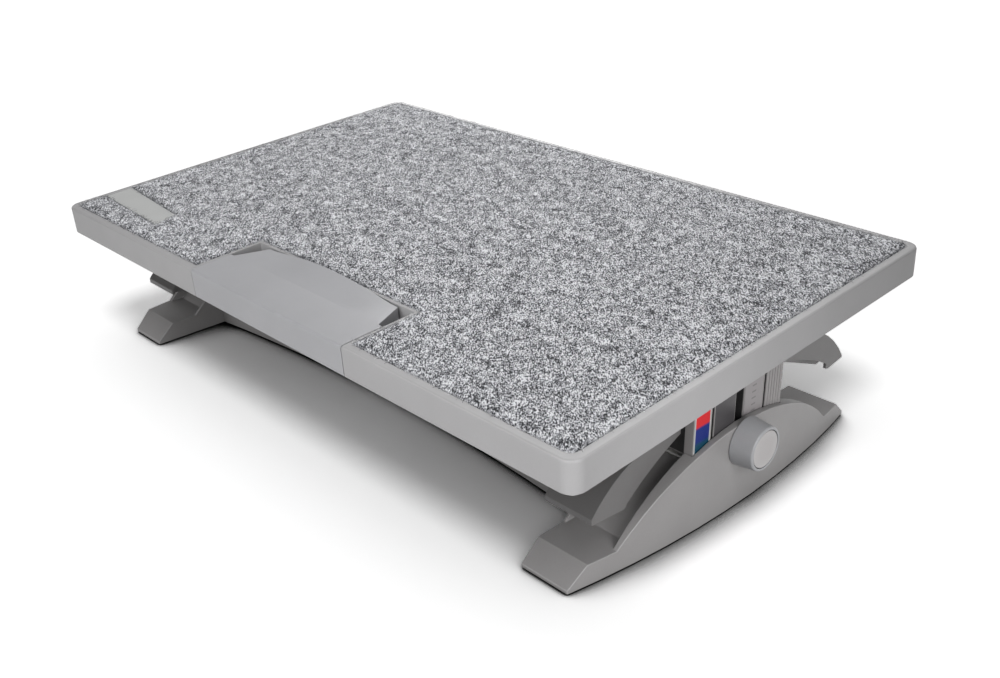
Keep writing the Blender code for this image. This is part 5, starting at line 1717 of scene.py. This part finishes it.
@dataclass
class Pedal(Casting):
    """The pedal: behind its flat part a straight ramp goes up to the crest, from a crisp crease."""

    node: str = "pedal"
    body: Body = Body.PEDAL
    finish: Finish = Finishes.pedal
    radius: float = 0.0004
    sharpest: float = math.radians(6)
    crease: float = -0.1412
    ramp: float = 0.0243
    top: float = 0.0336
    drop: float = 0.0027
    sunk_end: float = 0.3

    def reshape(self, form: bmesh.types.BMesh) -> None:
        """Draws the ramp's swell out into a straight rise, and its sunk ends up.

        Args:
            form: The welded form.
        """
        frame = platform_frame()
        back = frame.inverted()
        for vert in form.verts:
            place = back @ vert.co
            part = (place.y - self.crease) / self.ramp
            if 0.02 < part < 1.01 and place.z > self.top - self.drop:
                swell = part * part * (3 - 2 * part)
                rise = (place.z - self.top) / swell * part
                place.z = self.top + (rise if rise > 0 else rise * self.sunk_end)
                vert.co = frame @ place


@dataclass
class PedalSprings:
    """The pedal's two springs, each wound in its own tree of nodes."""

    turns: float = 5.0
    radius: float = 0.0035
    wire: float = 0.0005
    steps: int = 28
    wire_sides: int = 10
    pressed: float = 0.83

    def _wound(self, node: str, low: Vector, high: Vector) -> bpy.types.Object:
        """Winds a spring from end to end of its room.

        Args:
            node: The spring's node.
            low: The lowest corner of its room, in the platform's frame.
            high: The highest corner.

        Returns:
            The spring.
        """
        sizes = {
            "Turns": self.turns,
            "Radius": self.radius,
            "Wire": self.wire,
            "Rise": high.z - low.z - 2 * self.wire,
        }
        tree = Grower(node + "_winding", sizes)
        coil = tree.node(
            "GeometryNodeCurveSpiral",
            {},
            {
                "Resolution": self.steps,
                "Rotations": tree.size("Turns"),
                "Start Radius": tree.size("Radius"),
                "End Radius": tree.size("Radius"),
                "Height": tree.size("Rise"),
            },
        )
        circle = {"Resolution": self.wire_sides, "Radius": tree.size("Wire")}
        ring = tree.node("GeometryNodeCurvePrimitiveCircle", {}, circle)
        wire = tree.node(
            "GeometryNodeCurveToMesh",
            {},
            {
                "Curve": coil.outputs["Curve"],
                "Profile Curve": ring.outputs["Curve"],
                "Fill Caps": True,
            },
        )
        centre = (low + high) / 2
        placed = tree.node(
            "GeometryNodeTransform",
            {},
            {
                "Geometry": wire.outputs["Mesh"],
                "Translation": platform_frame() @ Vector((centre.x, centre.y, low.z + self.wire)),
                "Rotation": (REST_TILT, 0.0, 0.0),
            },
        )
        obj = linked(node + "_wound", bpy.data.meshes.new(node + "_wound"))
        made = tree.grow(obj, placed.outputs["Geometry"], Finishes.steel)
        for face in made.data.polygons:
            face.use_smooth = len(face.vertices) == 4
        return made

    def build(self) -> None:
        """Winds both springs where their solids stand."""
        frame = platform_frame()
        for side in Side:
            node = "pedal_spring_" + side.label
            low, high = reach_of(node, frame)
            made = self._wound(node, low, high)
            put(made, Body.PLATFORM, Finishes.steel, [node])
            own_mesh(made)


@dataclass
class Screws:
    """The pan-head screws of one body, set on their places by a tree of nodes.

    The head's profile is in shares of its radius and its height, from the middle of its face.
    """

    name: str
    body: Body
    nodes: Sequence[str]
    radius: float = 0.0018
    head: float = 0.0036
    head_height: float = 0.0018
    head_profile: tuple[tuple[float, float], ...] = (
        (0.0, 1.0),
        (0.55, 1.0),
        (0.86, 0.78),
        (1.0, 0.36),
        (1.0, 0.0),
    )
    length: float = 0.010
    slot: float = 0.0008
    pitch: float = 0.0008
    thread_root: float = 0.84
    tip: float = 0.7
    sides: int = 20
    seed: int = 5

    def _turned(self) -> bpy.types.Object:
        """Turns one screw that goes up from the origin, with its head beneath and no slot yet.

        Returns:
            The screw.
        """
        profile = [(self.head * r, -self.head_height * z) for r, z in self.head_profile]
        profile.append((self.radius, 0.0))
        steps = int(self.length / self.pitch * 2)
        for i in range(1, steps):
            deep = self.radius * (1.0 if i % 2 else self.thread_root)
            profile.append((deep, self.length * i / steps))
        profile += [(self.radius * self.tip, self.length), (0.0, self.length)]
        form = bmesh.new()
        rings = []
        for radius, z in profile:
            count = self.sides if radius else 1
            turns = [2 * math.pi * k / count for k in range(count)]
            rings.append(
                [form.verts.new((radius * math.cos(a), radius * math.sin(a), z)) for a in turns]
            )
        skinned(form, rings)
        return linked(self.name + "_model", meshed(form, self.name + "_model"))

    def _model(self) -> bpy.types.Mesh:
        """Cuts the slot into the turned screw.

        Returns:
            The screw's mesh.
        """
        obj = self._turned()
        block = bmesh.new()
        bmesh.ops.create_cube(block, size=1.0)
        block.transform(
            Matrix.Translation((0, 0, -self.head_height))
            @ Matrix.Diagonal((self.head * 4, self.slot, self.slot * 2, 1))
        )
        tool = linked(self.name + "_groove", meshed(block, self.name + "_groove"))
        sink = obj.modifiers.new("slot", "BOOLEAN")
        sink.operation = "DIFFERENCE"
        sink.solver = "EXACT"
        sink.object = tool
        made = settled(obj).data
        bpy.data.objects.remove(tool)
        bpy.data.objects.remove(obj)
        return made

    def _place(self, node: str) -> Vector:
        """Finds the underside of a screw's head.

        Args:
            node: The screw's solid.

        Returns:
            The place.
        """
        frame = platform_frame() if self.body is Body.PLATFORM else Matrix.Identity(4)
        low, high = reach_of(node, frame)
        middle = (low + high) / 2
        return frame @ Vector((middle.x, middle.y, low.z + self.head_height))

    def build(self) -> None:
        """Sets a screw on each place."""
        places = bpy.data.meshes.new(self.name)
        places.from_pydata([self._place(node) for node in self.nodes], [], [])
        obj = linked(self.name, places)
        source = linked(self.name + "_source", self._model())
        tilt = REST_TILT if self.body is Body.PLATFORM else 0.0
        tree = Grower(self.name + "_setting", {"Size": 1.0, "Tilt": tilt, "Seed": self.seed})
        screw = tree.node("GeometryNodeObjectInfo", {}, {"Object": source})
        turn = tree.chance(0.0, math.pi, tree.size("Seed"))
        spin = tree.node("ShaderNodeCombineXYZ", {}, {"X": tree.size("Tilt"), "Z": turn})
        laid = tree.node(
            "GeometryNodeInstanceOnPoints",
            {},
            {
                "Points": tree.geometry,
                "Instance": screw.outputs["Geometry"],
                "Rotation": spin.outputs["Vector"],
                "Scale": tree.size("Size"),
            },
        )
        made = tree.grow(obj, laid.outputs["Instances"], Finishes.steel)
        bpy.data.objects.remove(source)
        put(made, self.body, Finishes.steel, self.nodes)


class Platform:
    """The tray with its plate and the cradles beneath it."""

    def build(self) -> None:
        """Recasts the tray and what is fixed to it."""
        recast("platform_tray", Body.PLATFORM, Finishes.tray, 0.00045, 3)
        recast("tag_plate", Body.PLATFORM, Finishes.tag, 0.0008, 4)
        for side in Side:
            label = side.label
            recast("cradle_" + label, Body.PLATFORM, Finishes.leg, 0.0005, 3)
            recast("pedal_pin_" + label, Body.PLATFORM, Finishes.steel, 0.0003, 2)
            for ear in ("inner", "outer"):
                recast(f"bush_{ear}_{label}", Body.PLATFORM, Finishes.liner, 0.00015, 2)


class TiltLock:
    """The lock under the platform: its bracket, lever, shoe and rim, and the axle."""

    def build(self) -> None:
        """Recasts the lock's pieces."""
        recast("lock_bracket", Body.PLATFORM, Finishes.steel, 0.0003, 2)
        recast("lever_pin", Body.PLATFORM, Finishes.steel, 0.0003, 2)
        recast("lock_lever", Body.LEVER, Finishes.steel, 0.0004, 3)
        recast("lock_shoe", Body.LEVER, Finishes.lining, 0.0003, 2)
        recast("lock_rim", Body.LIFT, Finishes.steel, 0.0003, 2)
        recast("tilt_axle", Body.LIFT, Finishes.steel, 0.0004, 3)


class Reach(Enum):
    """What a lamp lights."""

    PIECES = "all_pieces"
    TOP = "top_pieces"
    LOWER = "lower_pieces"
    LEGS = "leg_pieces"

    def takes(self, obj: bpy.types.Object) -> bool:
        """Tells whether a lamp of this reach lights an object.

        Args:
            obj: The object.

        Returns:
            True for every piece, for the tray with what lies on it and the pedal, for the rest, or
            for what doesn't tip with the board.
        """
        if obj.type != "MESH" or "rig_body" not in obj:
            return False
        tips = obj["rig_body"] in (Body.PLATFORM.value, Body.PEDAL.value)
        on_top = tips and not obj.name.startswith("cradle")
        lit = {
            Reach.PIECES: True,
            Reach.TOP: on_top,
            Reach.LOWER: not on_top,
            Reach.LEGS: not tips,
        }
        return lit[self]

    def collection(self) -> bpy.types.Collection:
        """Gathers what a lamp of this reach lights, on first use.

        Returns:
            The collection.
        """
        found = bpy.data.collections.get(self.value)
        if found is None:
            found = bpy.data.collections.new(self.value)
            for obj in bpy.data.objects:
                if self.takes(obj):
                    found.objects.link(obj)
        return found


@dataclass(frozen=True)
class Lamp:
    """A soft lamp that lights pieces only. The floor's shadow is left to the overhead lamp."""

    name: str
    place: Point
    target: Point
    size: tuple[float, float]
    power: float
    reach: Reach = Reach.PIECES
    spread: float = 180.0

    def build(self) -> None:
        """Hangs the lamp."""
        data = bpy.data.lights.new(self.name, "AREA")
        data.shape = "RECTANGLE"
        data.size, data.size_y = self.size
        data.energy = self.power
        data.spread = math.radians(self.spread)
        lamp = linked(self.name, data)
        lamp.light_linking.receiver_collection = self.reach.collection()
        lamp.location = self.place
        ahead = Vector(self.target) - Vector(self.place)
        lamp.rotation_euler = ahead.to_track_quat("-Z", "Y").to_euler()


@dataclass(frozen=True)
class Viewpoint:
    """Where the picture was taken from: its focal length is in pixels, its angles in degrees."""

    focal: float = 1170.02
    picture_width: float = 1000.0
    sensor_width: float = 36.0
    azimuth: float = 46.36
    elevation: float = 26.20
    roll: float = -0.93
    target: Point = (0.05454, -0.01009, 0.050)
    distance: float = 0.86712
    nearest: float = 0.01
    farthest: float = 50.0

    def build(self) -> None:
        """Stands the camera there."""
        a, e, r = (math.radians(angle) for angle in (self.azimuth, self.elevation, self.roll))
        back = Vector((math.sin(a) * math.cos(e), -math.cos(a) * math.cos(e), math.sin(e)))
        right = (-back).cross(Vector((0, 0, 1))).normalized()
        up = right.cross(-back)
        across = right * math.cos(r) + up * math.sin(r)
        above = -right * math.sin(r) + up * math.cos(r)
        data = bpy.data.cameras.new("camera")
        data.sensor_width = self.sensor_width
        data.lens = self.focal / self.picture_width * self.sensor_width
        data.clip_start = self.nearest
        data.clip_end = self.farthest
        eye = linked("camera", data)
        place = Vector(self.target) + back * self.distance
        eye.matrix_world = Matrix(
            [(across[i], above[i], back[i], place[i]) for i in range(3)] + [(0, 0, 0, 1)]
        )
        bpy.context.scene.camera = eye


@dataclass
class Studio:
    """The pale floor, the white surround and the lamps."""

    sky: float = 0.27
    floor_seen: float = 2.65
    floor_felt: float = 0.35
    floor_drift: float = 0.02
    floor_size: float = 0.004
    floor_drop: float = 0.00002
    sun: float = 0.60
    sun_spread: float = 19.0
    sun_lean: tuple[float, float] = (0.40, -0.38)
    contact: float = 0.030
    contact_from: float = 0.48
    contact_gain: float = 2.2
    contact_tone: float = 0.02
    extent: float = 12.0
    lamps: Sequence[Lamp] = (
        Lamp(
            "front_softbox",
            (0.36, -1.10, 0.45),
            (0.04, 0.0, 0.08),
            (0.5, 0.5),
            1.7,
            Reach.TOP,
            84.0,
        ),
        Lamp(
            "side_softbox",
            (0.78, -0.32, 0.17),
            (0.28, -0.08, 0.10),
            (0.14, 0.16),
            0.13,
            Reach.TOP,
            42.0,
        ),
        Lamp(
            "near_softbox", (0.80, -0.28, 0.30), (0.05, 0.0, 0.08), (0.5, 0.4), 1.2, Reach.LOWER
        ),
        Lamp(
            "right_softbox", (0.95, -0.34, 0.33), (0.05, 0.0, 0.08), (0.5, 0.5), 3.2, Reach.LEGS
        ),
        Lamp(
            "left_softbox", (-0.35, -1.00, 0.22), (-0.1, -0.1, 0.03), (0.4, 0.3), 2.2, Reach.LEGS
        ),
        Lamp(
            "high_softbox",
            (-0.45, 0.85, 1.20),
            (-0.06, -0.08, 0.1),
            (0.7, 0.7),
            1.5,
            Reach.TOP,
            66.0,
        ),
        Lamp("rear_softbox", (-0.85, 0.90, 0.50), (0.0, 0.0, 0.08), (0.6, 0.6), 5.0),
    )

    def floor(self) -> None:
        """Lays the floor: it is seen brighter than it lights, keeps the lamps' shadow, and has a
        painted contact shadow beside the pieces.
        """
        recipe = Recipe("studio_floor")
        path = recipe.node("ShaderNodeLightPath")
        rays = (f"Is {ray} Ray" for ray in ("Camera", "Glossy", "Transmission"))
        seen, glossy, clear = (Flow(recipe, path.outputs[ray]) for ray in rays)
        mirrored = glossy.highest(clear)
        fine = recipe.cloud(self.floor_size, 2.0, 0.5)
        # Painted shadow: close to the pieces the floor's colour darkens to a near-black tone, by
        # how much lies near.
        near = recipe.read(
            "ShaderNodeAmbientOcclusion", "AO", {"samples": 12}, {"Distance": self.contact}
        )
        open_sky = ((near - self.contact_from) * self.contact_gain).clipped()
        shade = recipe.blend(open_sky, (self.contact_tone,) * 3, (self.floor_seen,) * 3)
        bright = recipe.node("ShaderNodeBsdfDiffuse", {}, {"Color": shade})
        dull, pale = (
            scaled((self.floor_felt,) * 3, 1 + way * self.floor_drift) for way in (-1, 1)
        )
        matt = recipe.node("ShaderNodeBsdfDiffuse", {}, {"Color": recipe.blend(fine, dull, pale)})
        mixed = recipe.node(
            "ShaderNodeMixShader",
            {},
            {0: seen.highest(mirrored), 1: matt.outputs["BSDF"], 2: bright.outputs["BSDF"]},
        )
        recipe.node("ShaderNodeOutputMaterial", {}, {"Surface": mixed.outputs["Shader"]})
        form = bmesh.new()
        bmesh.ops.create_grid(form, x_segments=8, y_segments=8, size=self.extent)
        mesh = meshed(form, "studio_floor")
        mesh.materials.append(recipe.made)
        ground = linked("studio_floor", mesh)
        ground.location.z = -self.floor_drop

    def surround(self) -> None:
        """Lights the air: even and soft, and white where the camera sees it."""
        world = bpy.data.worlds.new("studio_air")
        bpy.context.scene.world = world
        world.use_nodes = True
        tree = Tree(world.node_tree)
        seen = tree.read("ShaderNodeLightPath", "Is Camera Ray")
        strength = seen * (1.0 - self.sky) + self.sky
        air = tree.node("ShaderNodeBackground", {}, {"Color": (1, 1, 1, 1), "Strength": strength})
        tree.node("ShaderNodeOutputWorld", {}, {"Surface": air.outputs["Background"]})

    def sunlight(self) -> None:
        """Hangs the large lamp overhead that gives the soft shadow."""
        data = bpy.data.lights.new("overhead_lamp", "SUN")
        data.energy = self.sun
        data.angle = math.radians(self.sun_spread)
        lamp = linked("overhead_lamp", data)
        lamp.rotation_euler = Vector((*self.sun_lean, 1.0)).to_track_quat("Z", "Y").to_euler()

    def build(self) -> None:
        """Sets up the whole studio."""
        self.floor()
        self.surround()
        self.sunlight()
        for lamp in self.lamps:
            lamp.build()
        bpy.context.scene.view_settings.view_transform = "Standard"


def main() -> None:
    """Builds every sub-assembly in order and reports each piece."""
    logging.basicConfig(level=logging.INFO, format="%(name)s: %(message)s")
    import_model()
    for side in Side:
        Leg(side).build()
        Column(side).build()
        Clamp(side, (side.value * KNOB_FOOT, 0.0, KNOB_HEIGHT)).build()
    recast("cross_plate", Body.BASE, Finishes.leg, 0.0006, 3)
    Platform().build()
    FeltPad().build()
    pedal = Pedal()
    pedal.dress(pedal.build())
    PedalSprings().build()
    TiltLock().build()
    sites = [f"{end}_{side.label}" for side in Side for end in ENDS]
    Screws("tie_screws", Body.BASE, ["tie_screw_" + site for site in sites]).build()
    held = ["cradle_screw_" + site for site in sites]
    held += ["bracket_screw_" + side.label for side in Side]
    Screws("platform_screws", Body.PLATFORM, held).build()
    Viewpoint().build()
    Studio().build()


if __name__ == "__main__":
    main()
